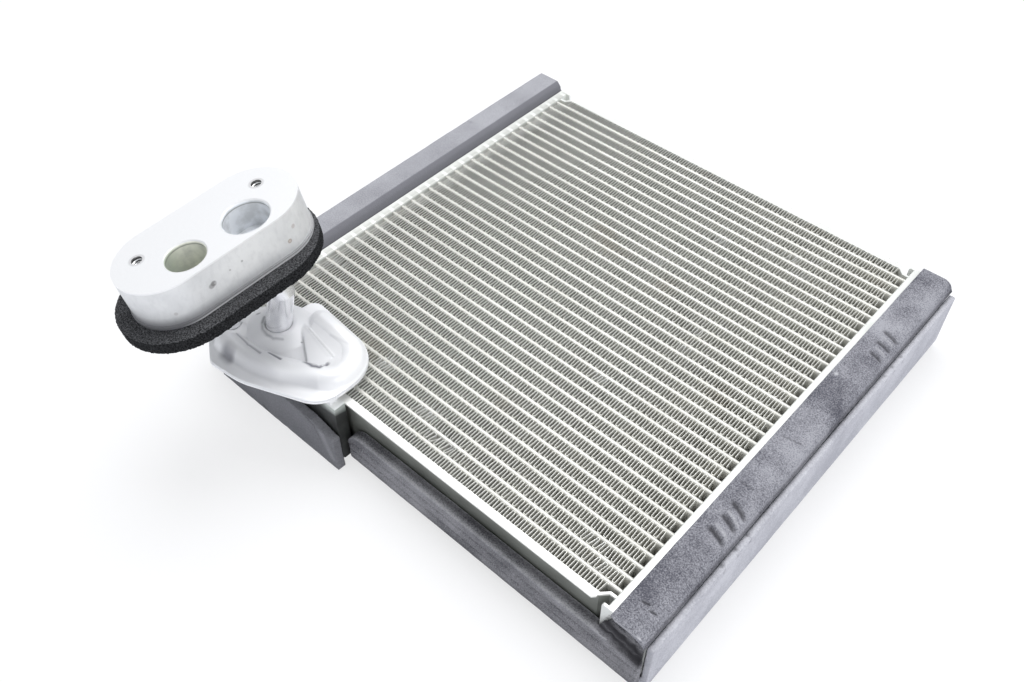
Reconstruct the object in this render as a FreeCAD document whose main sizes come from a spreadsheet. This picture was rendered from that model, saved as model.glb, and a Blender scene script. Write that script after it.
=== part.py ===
import FreeCAD, Part
import math
import os
import Sketcher

# Air conditioning evaporator core of a car. It lies flat on its foam strips, with the core's
# faces up and down, the tanks at the left and right ends and the two-port block above the front
# left corner. While it is built, X = 0 and Y = 0 are the middle of the core and Z = 0 is the
# surface that it lies on.

os.makedirs("parts", exist_ok=True)
doc = FreeCAD.newDocument("evaporator_core")
sizes = doc.addObject("Spreadsheet::Sheet", "Sizes")

DRIVING_SIZES = {
    # core
    "tube_pitch": 7.0,
    "tube_count": 35,
    "tube_thickness": 1.8,
    "tube_depth": 18.4,
    "row_gap": 1.2,
    "core_length": 235.8,
    "core_floor": 4.0,
    "fin_legs": 10,
    "fin_sheet": 0.3,
    "fin_left_gap": 0.6,
    "fin_right_gap": 3.0,
    # tanks
    "header_wall": 1.5,
    "header_lip": 4.7,
    "tank_rim": 1.0,
    "tank_width": 20.2,
    "tank_wall": 1.5,
    "lobe_radius": 6.0,
    "valley_depth": 4.0,
    "divider_wall": 1.2,
    "cap_wall": 1.2,
    "cap_tab": 2.4,
    # side plates
    "plate_wall": 1.2,
    "plate_flange": 3.0,
    "joggle_inset": 3.2,
    "joggle_length": 6.4,
    # side duct
    "duct_reach": 80.9,
    "duct_over": 0.9,
    "duct_depth": 6.4,
    "duct_wall": 1.2,
    "duct_edge": 1.5,
    "duct_hole": 5.2,
    "duct_hole_in": 8.0,
    "duct_split_in": 47.9,
    # pressed connector
    "neck_rise": 4.5,
    "shell_wall": 1.2,
    "shell_reach": 53.2,
    "ridge_width": 14.6,
    "ridge_height": 7.6,
    "ridge_slope": 65.0,
    "nose_inset": 0.2,
    "bend_clear": 0.3076,
    "channel_width": 7.0,
    "channel_height": 4.8,
    "neck_length": 15.0,
    "neck_width": 4.4,
    "liquid_neck_in": 69.9,
    "suction_neck_in": 25.9,
    "collar_in": 27.7,
    "collar_back": 6.7,
    "collar_height": 4.0,
    "collar_wall": 2.4,
    "dome_radius": 16.5,
    "pan_width": 16.0,
    "pan_front": 11.5,
    "pan_height": 1.6,
    "tongue_height": 2.6,
    # pipes
    "suction_diameter": 12.8,
    "liquid_diameter": 8.0,
    "pipe_wall": 1.2,
    "pipe_fit": 0.1,
    "suction_straight": 18.0,
    "liquid_straight": 2.0,
    # block
    "block_left": 10.6,
    "block_front": 16.85,
    "block_rise": 69.8,
    "block_lean_left": 6.94,
    "block_lean_front": 6.49,
    "block_turn": 6.0,
    "block_half": 22.6,
    "block_radius": 22.1,
    "block_height": 21.6,
    "foot_height": 1.6,
    "foot_reach": 0.6,
    "port_half": 15.35,
    "port_forward": 8.5,
    "suction_port": 10.8,
    "liquid_port": 9.1,
    "port_depth": 14.0,
    "port_chamfer": 0.8,
    "bolt_half": 30.9,
    "bolt_back": 7.0,
    "bolt_hole": 2.5,
    "bolt_depth": 16.0,
    "ring_reach": 8.4,
    "ring_shift": 3.2,
    "ring_height": 6.8,
    "ring_hole": 2.0,
    # foam
    "foam_thin": 2.7,
    "foam_side": 3.6,
    "foam_thick": 6.2,
    "foam_fit": 0.4,
    "strip_depth": 4.0,
    "strip_top": 26.0,
    "strip_gap": 2.0,
    "strip_over": 21.0,
    "strip_fold": 2.6,
    "flap_depth": 5.0,
    "flap_over": 10.1,
    "flap_top": 28.0,
    "flap_slant": 15.0,
    "foam_over": 2.6,
}

for row, (alias, number) in enumerate(DRIVING_SIZES.items(), start=1):
    sizes.set(f"A{row}", alias)
    sizes.set(f"B{row}", str(number))
    sizes.setAlias(f"B{row}", alias)
doc.recompute()

# Places that several pieces share, each worked out from the driving sizes in the sheet.
SHARED = {
    "half_length": "core_length / 2",
    "core_depth": "2 * tube_depth + row_gap",
    "core_top": "core_floor + core_depth",
    "core_mid": "core_floor + core_depth / 2",
    "fin_height": "tube_pitch - tube_thickness",
    "web_y": "(tube_count + 1) / 2 * tube_pitch - tube_thickness / 2",
    "flange_y": "web_y + plate_wall + plate_flange - 0.3",
    "tank_y": "flange_y - cap_wall",
    "header_x": "half_length + header_wall",
    "lip_x": "half_length + header_lip",
    "tank_top": "core_top + tank_rim",
    "tank_floor": "core_floor - tank_rim",
    "cover_top": "tank_top - header_wall",
    "cover_floor": "tank_floor + header_wall",
    "crown_x": "half_length + tank_width",
    "valley_x": "crown_x - valley_depth",
    "duct_back_y": "-flange_y - duct_wall",
    "duct_front_y": "-flange_y - duct_depth",
    "duct_right_x": "duct_reach - half_length",
    "shell_floor": "core_top + neck_rise",
    "shell_mid": "shell_floor + shell_wall",
    "shell_top": "shell_floor + 2 * shell_wall",
    "collar_x": "collar_in - half_length",
    "collar_y": "collar_back - flange_y",
    "strip_left_x": "duct_right_x + strip_gap",
}
first_shared_row = len(DRIVING_SIZES) + 2
for row, (alias, formula) in enumerate(SHARED.items(), start=first_shared_row):
    sizes.set(f"A{row}", alias)
    sizes.set(f"B{row}", f"={formula}")
    sizes.setAlias(f"B{row}", alias)
doc.recompute()


def value(formula):
    """Number that a formula of the sheet's names gives."""
    result = sizes.evalExpression(formula)
    return float(getattr(result, "Value", result))


def bound(formula):
    """The same formula as other objects write it, with each name led by the sheet's."""
    words = sorted(list(DRIVING_SIZES) + list(SHARED), key=len, reverse=True)
    out = []
    at = 0
    while at < len(formula):
        name = next((w for w in words if formula.startswith(w, at)), None)
        if name:
            out.append("Sizes." + name)
            at += len(name)
        else:
            out.append(formula[at])
            at += 1
    return "".join(out)


def vec(x, y, z=0.0):
    return FreeCAD.Vector(x, y, z)


def new_body(label):
    body = doc.addObject("PartDesign::Body", label)
    body.AllowCompound = True
    return body


def new_sketch(body, role, offset="0"):
    """Sketch on one of the body's own origin planes, moved along the plane's normal."""
    plane = next(f for f in body.Origin.OriginFeatures if f.Role == role)
    sketch = body.newObject("Sketcher::SketchObject", body.Name + "_outline")
    sketch.AttachmentSupport = (plane, [""])
    sketch.MapMode = "FlatFace"
    sketch.setExpression("AttachmentOffset.Base.z", bound(offset))
    return sketch


def add_loop(sketch, corners):
    """Closed outline of straight sides, each corner bound to the sheet."""
    spots = [vec(value(a), value(b)) for a, b in corners]
    first = sketch.GeometryCount
    count = len(spots)
    for i in range(count):
        sketch.addGeometry(Part.LineSegment(spots[i], spots[(i + 1) % count]), False)
    for i in range(count):
        following = first + (i + 1) % count
        sketch.addConstraint(Sketcher.Constraint("Coincident", first + i, 2, following, 1))
    for i, (a, b) in enumerate(corners):
        for kind, formula, number in (("DistanceX", a, spots[i].x), ("DistanceY", b, spots[i].y)):
            index = sketch.addConstraint(Sketcher.Constraint(kind, -1, 1, first + i, 1, number))
            sketch.setExpression(f"Constraints[{index}]", bound(formula))


def add_circle(sketch, x, y, radius):
    """Circle with its middle and its radius bound to the sheet."""
    middle = vec(value(x), value(y))
    circle = sketch.addGeometry(Part.Circle(middle, vec(0, 0, 1), value(radius)), False)
    bonds = (("DistanceX", x, middle.x), ("DistanceY", y, middle.y))
    for kind, formula, number in bonds:
        index = sketch.addConstraint(Sketcher.Constraint(kind, -1, 1, circle, 3, number))
        sketch.setExpression(f"Constraints[{index}]", bound(formula))
    index = sketch.addConstraint(Sketcher.Constraint("Radius", circle, value(radius)))
    sketch.setExpression(f"Constraints[{index}]", bound(radius))


def add_slot(sketch, half, radius, x="0", y="0"):
    """Long hole shape: two half circles, half above and half below the middle at (x, y)."""
    up, down = f"{y} + {half}", f"{y} - ({half})"
    top, low, r, cx = value(up), value(down), value(radius), value(x)
    far = Part.ArcOfCircle(Part.Circle(vec(cx, top), vec(0, 0, 1), r), 0, math.pi)
    near = Part.ArcOfCircle(Part.Circle(vec(cx, low), vec(0, 0, 1), r), math.pi, 2 * math.pi)
    a = sketch.addGeometry(far, False)
    b = sketch.addGeometry(near, False)
    c = sketch.addGeometry(Part.LineSegment(vec(cx - r, top), vec(cx - r, low)), False)
    d = sketch.addGeometry(Part.LineSegment(vec(cx + r, low), vec(cx + r, top)), False)
    for one, one_end, two, two_end in ((a, 2, c, 1), (c, 2, b, 1), (b, 2, d, 1), (d, 2, a, 1)):
        sketch.addConstraint(Sketcher.Constraint("Tangent", one, one_end, two, two_end))
    bonds = (
        (Sketcher.Constraint("DistanceX", -1, 1, a, 3, cx), x),
        (Sketcher.Constraint("DistanceY", -1, 1, a, 3, top), up),
        (Sketcher.Constraint("DistanceY", -1, 1, b, 3, low), down),
        (Sketcher.Constraint("Radius", a, r), radius),
    )
    for constraint, formula in bonds:
        index = sketch.addConstraint(constraint)
        sketch.setExpression(f"Constraints[{index}]", bound(formula))
    sketch.addConstraint(Sketcher.Constraint("Vertical", c))


def add_pad(body, sketch, length, reverse=False):
    pad = body.newObject("PartDesign::Pad", body.Name + "_pad")
    pad.Profile = sketch
    pad.setExpression("Length", bound(length))
    pad.Reversed = reverse
    sketch.Visibility = False
    return pad


def add_pocket(body, sketch, depth, reverse=False):
    """Cut the sketch's outline to a depth, and make sure that it took material away."""
    doc.recompute()
    before = body.Shape.Volume
    pocket = body.newObject("PartDesign::Pocket", body.Name + "_pocket")
    pocket.Profile = sketch
    pocket.setExpression("Length", bound(depth))
    pocket.Reversed = reverse
    doc.recompute()
    if body.Shape.Volume >= before:
        raise ValueError(f"{body.Label}: a pocket takes nothing away")
    return pocket


def edges_through(shape, spots, axes, reach=0.05):
    """Names of the edges whose middle lies at one of the spots, seen along the missing axis."""
    names = []
    for number, edge in enumerate(shape.Edges, start=1):
        middle = edge.BoundBox.Center
        here = [getattr(middle, axis) for axis in axes]
        if any(max(abs(h - s) for h, s in zip(here, spot)) < reach for spot in spots):
            names.append(f"Edge{number}")
    return names


def add_rounding(body, spots, axes, radius, kind="Fillet"):
    """Round or chamfer the edges that pass the spots, in the plane of the two axes."""
    doc.recompute()
    base = body.Tip
    names = edges_through(base.Shape, [[value(c) for c in spot] for spot in spots], axes)
    if not names:
        raise ValueError(f"{body.Label}: no edge to round")
    feature = body.newObject("PartDesign::" + kind, body.Name + "_" + kind.lower())
    feature.Base = (base, names)
    feature.setExpression("Radius" if kind == "Fillet" else "Size", bound(radius))
    doc.recompute()
    return feature


def new_feature(label, shape):
    feature = doc.addObject("Part::Feature", label)
    feature.Shape = shape
    return feature


def box(x0, x1, y0, y1, z0, z1):
    """Solid block between two corners, each given as a number."""
    return Part.makeBox(x1 - x0, y1 - y0, z1 - z0, vec(x0, y0, z0))


def rounded_path(corners, closed):
    """Straight runs through the corners (x, y, radius), joined by arcs where a radius is given."""
    spots = [vec(x, y) for x, y, _ in corners]
    count = len(spots)
    arcs = {}
    for i in range(0 if closed else 1, count if closed else count - 1):
        if corners[i][2] == 0:
            continue
        here = spots[i]
        to_last = (spots[i - 1] - here).normalize()
        to_next = (spots[(i + 1) % count] - here).normalize()
        half_angle = to_last.getAngle(to_next) / 2
        radius = corners[i][2]
        back = radius / math.tan(half_angle)
        inward = (to_last + to_next).normalize()
        middle = here + inward * (radius / math.sin(half_angle) - radius)
        arcs[i] = (here + to_last * back, middle, here + to_next * back)
    edges = []
    for i in range(count if closed else count - 1):
        following = (i + 1) % count
        start = arcs[i][2] if i in arcs else spots[i]
        end = arcs[following][0] if following in arcs else spots[following]
        if (end - start).Length > 0.001:
            edges.append(Part.LineSegment(start, end).toShape())
        if following in arcs:
            edges.append(Part.Arc(*arcs[following]).toShape())
    return Part.Wire(Part.__sortEdges__(edges))


# Flat tubes. Each is an extruded aluminium strip, and the two rows lie one above the other. Their
# ends lie flush with the inner faces of the header plates.
def build_tube_row(label, floor):
    body = new_body(label)
    sketch = new_sketch(body, "YZ_Plane", "-header_x")
    middle = "-(tube_count - 1) / 2 * tube_pitch"
    add_loop(sketch, [
        (f"{middle} - tube_thickness / 2", floor),
        (f"{middle} + tube_thickness / 2", floor),
        (f"{middle} + tube_thickness / 2", f"{floor} + tube_depth"),
        (f"{middle} - tube_thickness / 2", f"{floor} + tube_depth"),
    ])
    pad = add_pad(body, sketch, "2 * header_x")
    doc.recompute()
    row = body.newObject("PartDesign::LinearPattern", label + "_row")
    row.Originals = [pad]
    row.Direction = (next(f for f in body.Origin.OriginFeatures if f.Role == "Y_Axis"), [""])
    row.setExpression("Length", bound("(tube_count - 1) * tube_pitch"))
    row.setExpression("Occurrences", bound("tube_count"))
    body.Tip = row
    return body


build_tube_row("lower_tube_row", "core_floor")
build_tube_row("upper_tube_row", "core_floor + tube_depth + row_gap")


# Corrugated fins. One folded strip fills each space between two tubes, and the outer two lie
# between the last tube and a side plate. A strip is as deep as both tube rows. The folds stand
# closer on the real strip, so these keep its zigzag with fewer legs.
def fin_strip(left, right):
    legs = int(value("fin_legs"))
    sheet = value("fin_sheet")
    crest = value("fin_height") / 2 - sheet / 2
    top = []
    bottom = []
    for k in range(legs + 1):
        x = left + (right - left) * k / legs
        y = crest if k % 2 else -crest
        top.append(vec(x, y + sheet / 2, value("core_floor")))
        bottom.append(vec(x, y - sheet / 2, value("core_floor")))
    outline = top + bottom[::-1]
    wire = Part.makePolygon(outline + outline[:1])
    return Part.Face(wire).extrude(vec(0, 0, value("core_depth")))


def build_fin_pack():
    count = int(value("tube_count"))
    inner = fin_strip(value("fin_left_gap - half_length"), value("half_length - fin_right_gap"))
    reach = value("half_length - joggle_length")
    outer = fin_strip(-reach, reach)
    strips = []
    for i in range(count + 1):
        strip = (outer if i in (0, count) else inner).copy()
        strip.translate(vec(0, (i - count / 2) * value("tube_pitch"), 0))
        strips.append(strip)
    new_feature("fin_pack", Part.makeCompound(strips))


build_fin_pack()


# Header plates. Each is a shallow channel whose web holds the tube ends in a row of slots and
# whose lips wrap the tank cover.
def build_header(side, sign):
    body = new_body(side + "_header_plate")
    sketch = new_sketch(body, "XZ_Plane", "-tank_y")
    add_loop(sketch, [
        (f"{sign} * half_length", "tank_floor"),
        (f"{sign} * lip_x", "tank_floor"),
        (f"{sign} * lip_x", "tank_floor + header_wall"),
        (f"{sign} * header_x", "tank_floor + header_wall"),
        (f"{sign} * header_x", "tank_top - header_wall"),
        (f"{sign} * lip_x", "tank_top - header_wall"),
        (f"{sign} * lip_x", "tank_top"),
        (f"{sign} * half_length", "tank_top"),
    ])
    add_pad(body, sketch, "2 * tank_y")
    corners = [(f"{sign} * half_length", "tank_floor"), (f"{sign} * half_length", "tank_top")]
    add_rounding(body, corners, ("x", "z"), "header_wall * 0.6")
    slots = new_sketch(body, "YZ_Plane", f"{sign} * half_length")
    middle = "-(tube_count - 1) / 2 * tube_pitch"
    for floor in ("core_floor", "core_floor + tube_depth + row_gap"):
        add_loop(slots, [
            (f"{middle} - tube_thickness / 2", floor),
            (f"{middle} + tube_thickness / 2", floor),
            (f"{middle} + tube_thickness / 2", f"{floor} + tube_depth"),
            (f"{middle} - tube_thickness / 2", f"{floor} + tube_depth"),
        ])
    pocket = add_pocket(body, slots, "header_wall", reverse=sign > 0)
    row = body.newObject("PartDesign::LinearPattern", body.Name + "_slots")
    row.Originals = [pocket]
    row.Direction = (next(f for f in body.Origin.OriginFeatures if f.Role == "Y_Axis"), [""])
    row.setExpression("Length", bound("(tube_count - 1) * tube_pitch"))
    row.setExpression("Occurrences", bound("tube_count"))
    body.Tip = row


# Tank covers. Each is pressed into two lobes, one for each tube row, with a valley between
# them that meets the divider. The lips of the header plate hold its edges.
def build_tank_cover(side, sign):
    body = new_body(side + "_tank_cover")
    sketch = new_sketch(body, "XZ_Plane", "-tank_y")
    outer = [
        ("header_x", "cover_floor"),
        ("crown_x - 1.2 * lobe_radius", "cover_floor"),
        ("crown_x", "cover_floor + lobe_radius"),
        ("crown_x", "core_mid - lobe_radius"),
        ("valley_x", "core_mid - divider_wall"),
        ("valley_x", "core_mid + divider_wall"),
        ("crown_x", "core_mid + lobe_radius"),
        ("crown_x", "cover_top - lobe_radius"),
        ("crown_x - 1.2 * lobe_radius", "cover_top"),
        ("header_x", "cover_top"),
    ]
    inner = [
        ("header_x", "cover_top - tank_wall"),
        ("crown_x - 1.3 * lobe_radius", "cover_top - tank_wall"),
        ("crown_x - tank_wall", "cover_top - lobe_radius - 0.4 * tank_wall"),
        ("crown_x - tank_wall", "core_mid + lobe_radius + 0.4 * tank_wall"),
        ("valley_x - tank_wall", "core_mid + divider_wall"),
        ("valley_x - tank_wall", "core_mid - divider_wall"),
        ("crown_x - tank_wall", "core_mid - lobe_radius - 0.4 * tank_wall"),
        ("crown_x - tank_wall", "cover_floor + lobe_radius + 0.4 * tank_wall"),
        ("crown_x - 1.3 * lobe_radius", "cover_floor + tank_wall"),
        ("header_x", "cover_floor + tank_wall"),
    ]
    add_loop(sketch, [(f"{sign} * ({x})", z) for x, z in outer + inner])
    add_pad(body, sketch, "2 * tank_y")
    lobes = [(f"{sign} * ({x})", z) for x, z in outer[1:4] + outer[6:9]]
    add_rounding(body, lobes, ("x", "z"), "0.5 * lobe_radius")


# Dividers and baffles. A long plate parts the upper chamber of a tank from the lower one, and a
# small plate across each chamber, between two tubes, turns the flow back.
def build_tank_inside(side, sign):
    divider = new_body(side + "_tank_divider")
    sketch = new_sketch(divider, "XZ_Plane", "-tank_y")
    add_loop(sketch, [
        (f"{sign} * header_x", "core_mid - divider_wall / 2"),
        (f"{sign} * (valley_x - tank_wall)", "core_mid - divider_wall / 2"),
        (f"{sign} * (valley_x - tank_wall)", "core_mid + divider_wall / 2"),
        (f"{sign} * header_x", "core_mid + divider_wall / 2"),
    ])
    add_pad(divider, sketch, "2 * tank_y")
    baffles = new_body(side + "_tank_baffles")
    sketch = new_sketch(baffles, "XZ_Plane", "-(tube_pitch + divider_wall) / 2")
    near, far = "header_x", "crown_x - 1.3 * lobe_radius"
    for low, high in (
        ("cover_floor + tank_wall", "core_mid - divider_wall / 2"),
        ("core_mid + divider_wall / 2", "cover_top - tank_wall"),
    ):
        add_loop(sketch, [
            (f"{sign} * ({near})", low),
            (f"{sign} * ({far})", low),
            (f"{sign} * ({far})", high),
            (f"{sign} * ({near})", high),
        ])
    add_pad(baffles, sketch, "divider_wall")


# End caps. Flat plates with the outline of the tank, brazed over its open ends. A narrow tab on
# each stands past the header plate towards the core. The cap at the front of the left tank has
# a square passage for each chamber, in line with those of the side duct.
def build_end_cap(label, sign, front):
    body = new_body(label)
    sketch = new_sketch(body, "XZ_Plane", "tank_y" if front else "-flange_y")
    tab = f"{sign} * (half_length - cap_tab)"
    lobes = [
        (f"{sign} * (crown_x - 1.2 * lobe_radius)", "cover_floor"),
        (f"{sign} * crown_x", "cover_floor + lobe_radius"),
        (f"{sign} * crown_x", "cover_top - lobe_radius"),
        (f"{sign} * (crown_x - 1.2 * lobe_radius)", "cover_top"),
    ]
    lip_low = [
        (tab, "core_mid"),
        (f"{sign} * half_length", "tank_floor"),
        (f"{sign} * lip_x", "tank_floor"),
        (f"{sign} * lip_x", "cover_floor"),
    ]
    lip_high = [
        (f"{sign} * lip_x", "cover_top"),
        (f"{sign} * lip_x", "tank_top"),
        (tab, "tank_top"),
    ]
    add_loop(sketch, lip_low + lobes + lip_high)
    add_pad(body, sketch, "cap_wall")
    add_rounding(body, lobes, ("x", "z"), "0.5 * lobe_radius")
    add_rounding(body, [(tab, "tank_top")], ("x", "z"), "cap_tab / 2")
    return body


for side, sign in (("left", -1), ("right", 1)):
    build_header(side, sign)
    build_tank_cover(side, sign)
    build_tank_inside(side, sign)
    build_end_cap(side + "_back_end_cap", sign, False)
build_end_cap("right_front_end_cap", 1, True)
left_front_cap = build_end_cap("left_front_end_cap", -1, True)


def add_passages(body, offset, depth):
    """Two square holes in a front plate, one for each chamber of the left tank."""
    sketch = new_sketch(body, "XZ_Plane", offset)
    middle = "-header_x - duct_hole_in"
    for height in ("core_mid - core_depth / 4", "core_mid + core_depth / 4"):
        add_loop(sketch, [
            (f"{middle} - duct_hole", f"{height} - duct_hole"),
            (f"{middle} + duct_hole", f"{height} - duct_hole"),
            (f"{middle} + duct_hole", f"{height} + duct_hole"),
            (f"{middle} - duct_hole", f"{height} + duct_hole"),
        ])
    add_pocket(body, sketch, depth)


add_passages(left_front_cap, "flange_y", "cap_wall")


# Side plates. Pressed channels along the front and the back of the core, with flanges that
# face outwards. Both ends of the web step inwards to reach the header plates.
def build_side_plate(label, sign):
    body = new_body(label)
    sketch = new_sketch(body, "XY_Plane", "core_floor")
    inner = "web_y"
    outer = "web_y + plate_wall"
    step = "joggle_inset"
    run = "half_length - joggle_length"
    shoulder = "half_length - joggle_length / 2"
    right = [
        ("half_length", f"{inner} - {step}"),
        (shoulder, f"{inner} - {step}"),
        (run, inner),
    ]
    right_out = [
        (f"{run} + 0.3 * plate_wall", outer),
        (f"{shoulder} + 0.3 * plate_wall", f"{outer} - {step}"),
        ("half_length", f"{outer} - {step}"),
    ]
    left = [(f"-({x})", y) for x, y in right[::-1]]
    left_out = [(f"-({x})", y) for x, y in right_out[::-1]]
    outline = right + left + left_out + right_out
    add_loop(sketch, [(x, f"{sign} * ({y})") for x, y in outline])
    add_pad(body, sketch, "core_depth")
    for floor in ("core_floor", "core_top - plate_wall"):
        flange = new_sketch(body, "XY_Plane", floor)
        edge = "flange_y"
        corner = "plate_flange * 0.5"
        add_loop(flange, [
            (f"-({run})", f"{sign} * ({inner})"),
            (f"{run}", f"{sign} * ({inner})"),
            (f"{run}", f"{sign} * ({edge} - {corner})"),
            (f"{run} - {corner}", f"{sign} * {edge}"),
            (f"-({run}) + {corner}", f"{sign} * {edge}"),
            (f"-({run})", f"{sign} * ({edge} - {corner})"),
        ])
        add_pad(body, flange, "plate_wall")


build_side_plate("front_side_plate", -1)
build_side_plate("back_side_plate", 1)


# Side duct. A flat inner plate and a pressed tray run along the left part of the front side
# plate. The plate has one passage for each chamber of the left tank, and a rib in the tray keeps
# the two flows apart.
def build_side_duct():
    right = "duct_right_x"
    left = "-crown_x - duct_over"
    plate = new_body("side_duct_plate")
    sketch = new_sketch(plate, "XZ_Plane", "flange_y")
    outline = [(left, "core_floor"), (right, "core_floor"), (right, "core_top"), (left, "core_top")]
    add_loop(sketch, outline)
    add_pad(plate, sketch, "duct_wall")
    add_passages(plate, "flange_y + duct_wall", "duct_wall")

    tray = new_body("side_duct_tray")
    sketch = new_sketch(tray, "XZ_Plane", "flange_y + duct_wall")
    add_loop(sketch, outline)
    add_pad(tray, sketch, "duct_depth - duct_wall")
    front = "duct_front_y"
    add_rounding(tray, [("core_floor", front), ("core_top", front)], ("z", "y"), "duct_edge")
    hollow = new_sketch(tray, "XZ_Plane", "flange_y + duct_wall")
    wall = "duct_wall"
    rib = "core_mid"
    split = "duct_split_in - half_length"
    add_loop(hollow, [
        (f"{left} + {wall}", f"core_floor + {wall}"),
        (f"{right} - {wall}", f"core_floor + {wall}"),
        (f"{right} - {wall}", f"core_top - {wall}"),
        (f"{split} + {wall} / 2", f"core_top - {wall}"),
        (f"{split} + {wall} / 2", f"{rib} - {wall} / 2"),
        (f"{left} + {wall}", f"{rib} - {wall} / 2"),
    ])
    add_loop(hollow, [
        (f"{left} + {wall}", f"{rib} + {wall} / 2"),
        (f"{split} - {wall} / 2", f"{rib} + {wall} / 2"),
        (f"{split} - {wall} / 2", f"core_top - {wall}"),
        (f"{left} + {wall}", f"core_top - {wall}"),
    ])
    add_pocket(tray, hollow, "duct_depth - 2 * duct_wall", reverse=True)
    mouths = new_sketch(tray, "XY_Plane", "core_top")
    for middle in ("liquid_neck_in - half_length", "suction_neck_in - half_length"):
        inner_half = "neck_length / 2 - duct_wall"
        near = "duct_back_y - duct_wall"
        add_loop(mouths, [
            (f"{middle} - ({inner_half})", f"{near} - neck_width + 2 * duct_wall"),
            (f"{middle} + {inner_half}", f"{near} - neck_width + 2 * duct_wall"),
            (f"{middle} + {inner_half}", near),
            (f"{middle} - ({inner_half})", near),
        ])
    add_pocket(tray, mouths, "duct_wall * 1.5")


build_side_duct()


# Pressed connector. Two shells with one outline are brazed face to face. The upper one has a
# hollow ridge with sloped flanks and a round crown that bends round the suction collar, a low
# dome under the collar and a flat tongue. The lower one is flat, with two short necks that stand
# on the side duct. All of its places are measured from the middle of the suction collar, as
# shares of the shell's reach to the right of it.
collar_spot = vec(value("collar_x"), value("collar_y"))


def from_collar(right, back):
    return collar_spot + vec(right, back) * value("shell_reach")


def shell_path(corners, closed, least_radius=0):
    """Path through corners (right, back, radius), each number a share of the shell's reach.

    A corner whose radius is "tight" is rounded by the least radius.
    """
    places = []
    for right, back, radius in corners:
        spot = from_collar(right, back)
        size = least_radius if radius == "tight" else radius * value("shell_reach")
        places.append((spot.x, spot.y, size))
    return rounded_path(places, closed)


def connector_outline():
    return shell_path([
        (-0.372, -0.521, 0.132),
        (-0.150, -0.673, 0.113),
        (0.218, -0.633, 0.752),
        (0.977, -0.331, 0.301),
        (1.0, 0.370, 0.395),
        (-0.034, 0.464, 0.113),
        (-0.062, 0.259, 0.075),
        (-0.259, 0.194, 0.113),
        (-0.466, -0.150, 0.150),
    ], True)


def ridge_path():
    """Middle line of the ridge. Its tightest bend still clears the ridge's inner side."""
    return shell_path([
        (-0.288, -0.295, 0),
        (-0.214, -0.425, 0),
        (0.258, -0.382, 1.128),
        (0.852, -0.086, "tight"),
        (0.844, 0.242, 0.244),
        (0.222, 0.303, 0),
    ], False, value("ridge_width") / 2 + value("bend_clear"))


def half_crown():
    """Right half of the ridge's section, from its foot to its crown, as (out, up) points."""
    half = value("ridge_width") / 2
    slope = math.radians(value("ridge_slope"))
    per_width = math.tan(slope / 2)
    shoulder = value("ridge_height") - per_width * half
    shoulder /= 1 - per_width / math.tan(slope)
    arc_half = half - shoulder / math.tan(slope)
    arc_radius = arc_half / math.sin(slope)
    turn = slope / 2
    lift = value("ridge_height") - arc_radius * (1 - math.cos(turn))
    return [(half, 0), (arc_half, shoulder), (arc_radius * math.sin(turn), lift),
            (0, value("ridge_height"))]


def joined(pieces):
    """One solid from pieces that follow each other, each fused to the ones before it."""
    whole = pieces[0]
    for piece in pieces[1:]:
        whole = whole.fuse(piece)
    if whole.isNull() or len(whole.Solids) != 1:
        raise ValueError("the pieces do not join")
    return whole


def section_face(spot, across):
    """Upright face of the ridge across its path at a spot."""
    def at(out, up):
        return spot + across * out + vec(0, 0, up + value("shell_mid"))
    foot, shoulder, _, crown = half_crown()
    far_shoulder = at(-shoulder[0], shoulder[1])
    far_foot = at(-foot[0], foot[1])
    return Part.Face(Part.Wire([
        Part.LineSegment(at(*foot), at(*shoulder)).toShape(),
        Part.Arc(at(*shoulder), at(*crown), far_shoulder).toShape(),
        Part.LineSegment(far_shoulder, far_foot).toShape(),
        Part.LineSegment(far_foot, at(*foot)).toShape(),
    ]))


def ridge_nose(spot):
    """Round end or corner of the ridge, few-faced and a little inside the ridge's section."""
    base = spot + vec(0, 0, value("shell_mid"))
    inset = value("nose_inset")
    profile = [base]
    for out, up in half_crown():
        profile.append(base + vec(max(out - inset, 0), 0, max(up - inset, 0)))
    profile.append(base)
    return Part.Face(Part.makePolygon(profile)).revolve(base, vec(0, 0, 1), 360)


def ridge():
    """Section run along the path: extruded on straights, revolved in bends, with round ends."""
    up = vec(0, 0, 1)
    path = ridge_path()
    runs = []
    for edge in path.Edges:
        start = edge.valueAt(edge.FirstParameter)
        heading = edge.tangentAt(edge.FirstParameter)
        face = section_face(start, heading.cross(up))
        if edge.Curve.TypeId == "Part::GeomLine":
            runs.append(face.extrude(edge.valueAt(edge.LastParameter) - start))
            continue
        finish = edge.tangentAt(edge.LastParameter)
        turn = math.degrees(heading.getAngle(finish))
        if heading.cross(finish).z < 0:
            turn = -turn
        runs.append(face.revolve(edge.Curve.Center, up, turn))
    first, last = path.Edges[0], path.Edges[-1]
    for spot in (first.valueAt(first.FirstParameter), first.valueAt(first.LastParameter),
                 last.valueAt(last.LastParameter)):
        runs.append(ridge_nose(spot))
    return joined(runs)


def passage():
    """Straight-sided channel under the ridge, in short runs that follow its path."""
    half = value("channel_width") / 2
    spots = []
    for edge in ridge_path().Edges:
        spots.append(edge.valueAt(edge.FirstParameter))
        if edge.Curve.TypeId != "Part::GeomLine":
            spots.append(edge.valueAt((edge.FirstParameter + edge.LastParameter) / 2))
    spots.append(edge.valueAt(edge.LastParameter))
    runs = []
    for here, following in zip(spots, spots[1:]):
        along = (following - here).normalize() * half
        aside = vec(-along.y, along.x)
        base = vec(0, 0, value("shell_mid"))
        near, far = here - along + base, following + along + base
        corners = [near - aside, far - aside, far + aside, near + aside, near - aside]
        run = Part.Face(Part.makePolygon(corners))
        runs.append(run.extrude(vec(0, 0, value("channel_height"))))
    return joined(runs)


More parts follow.
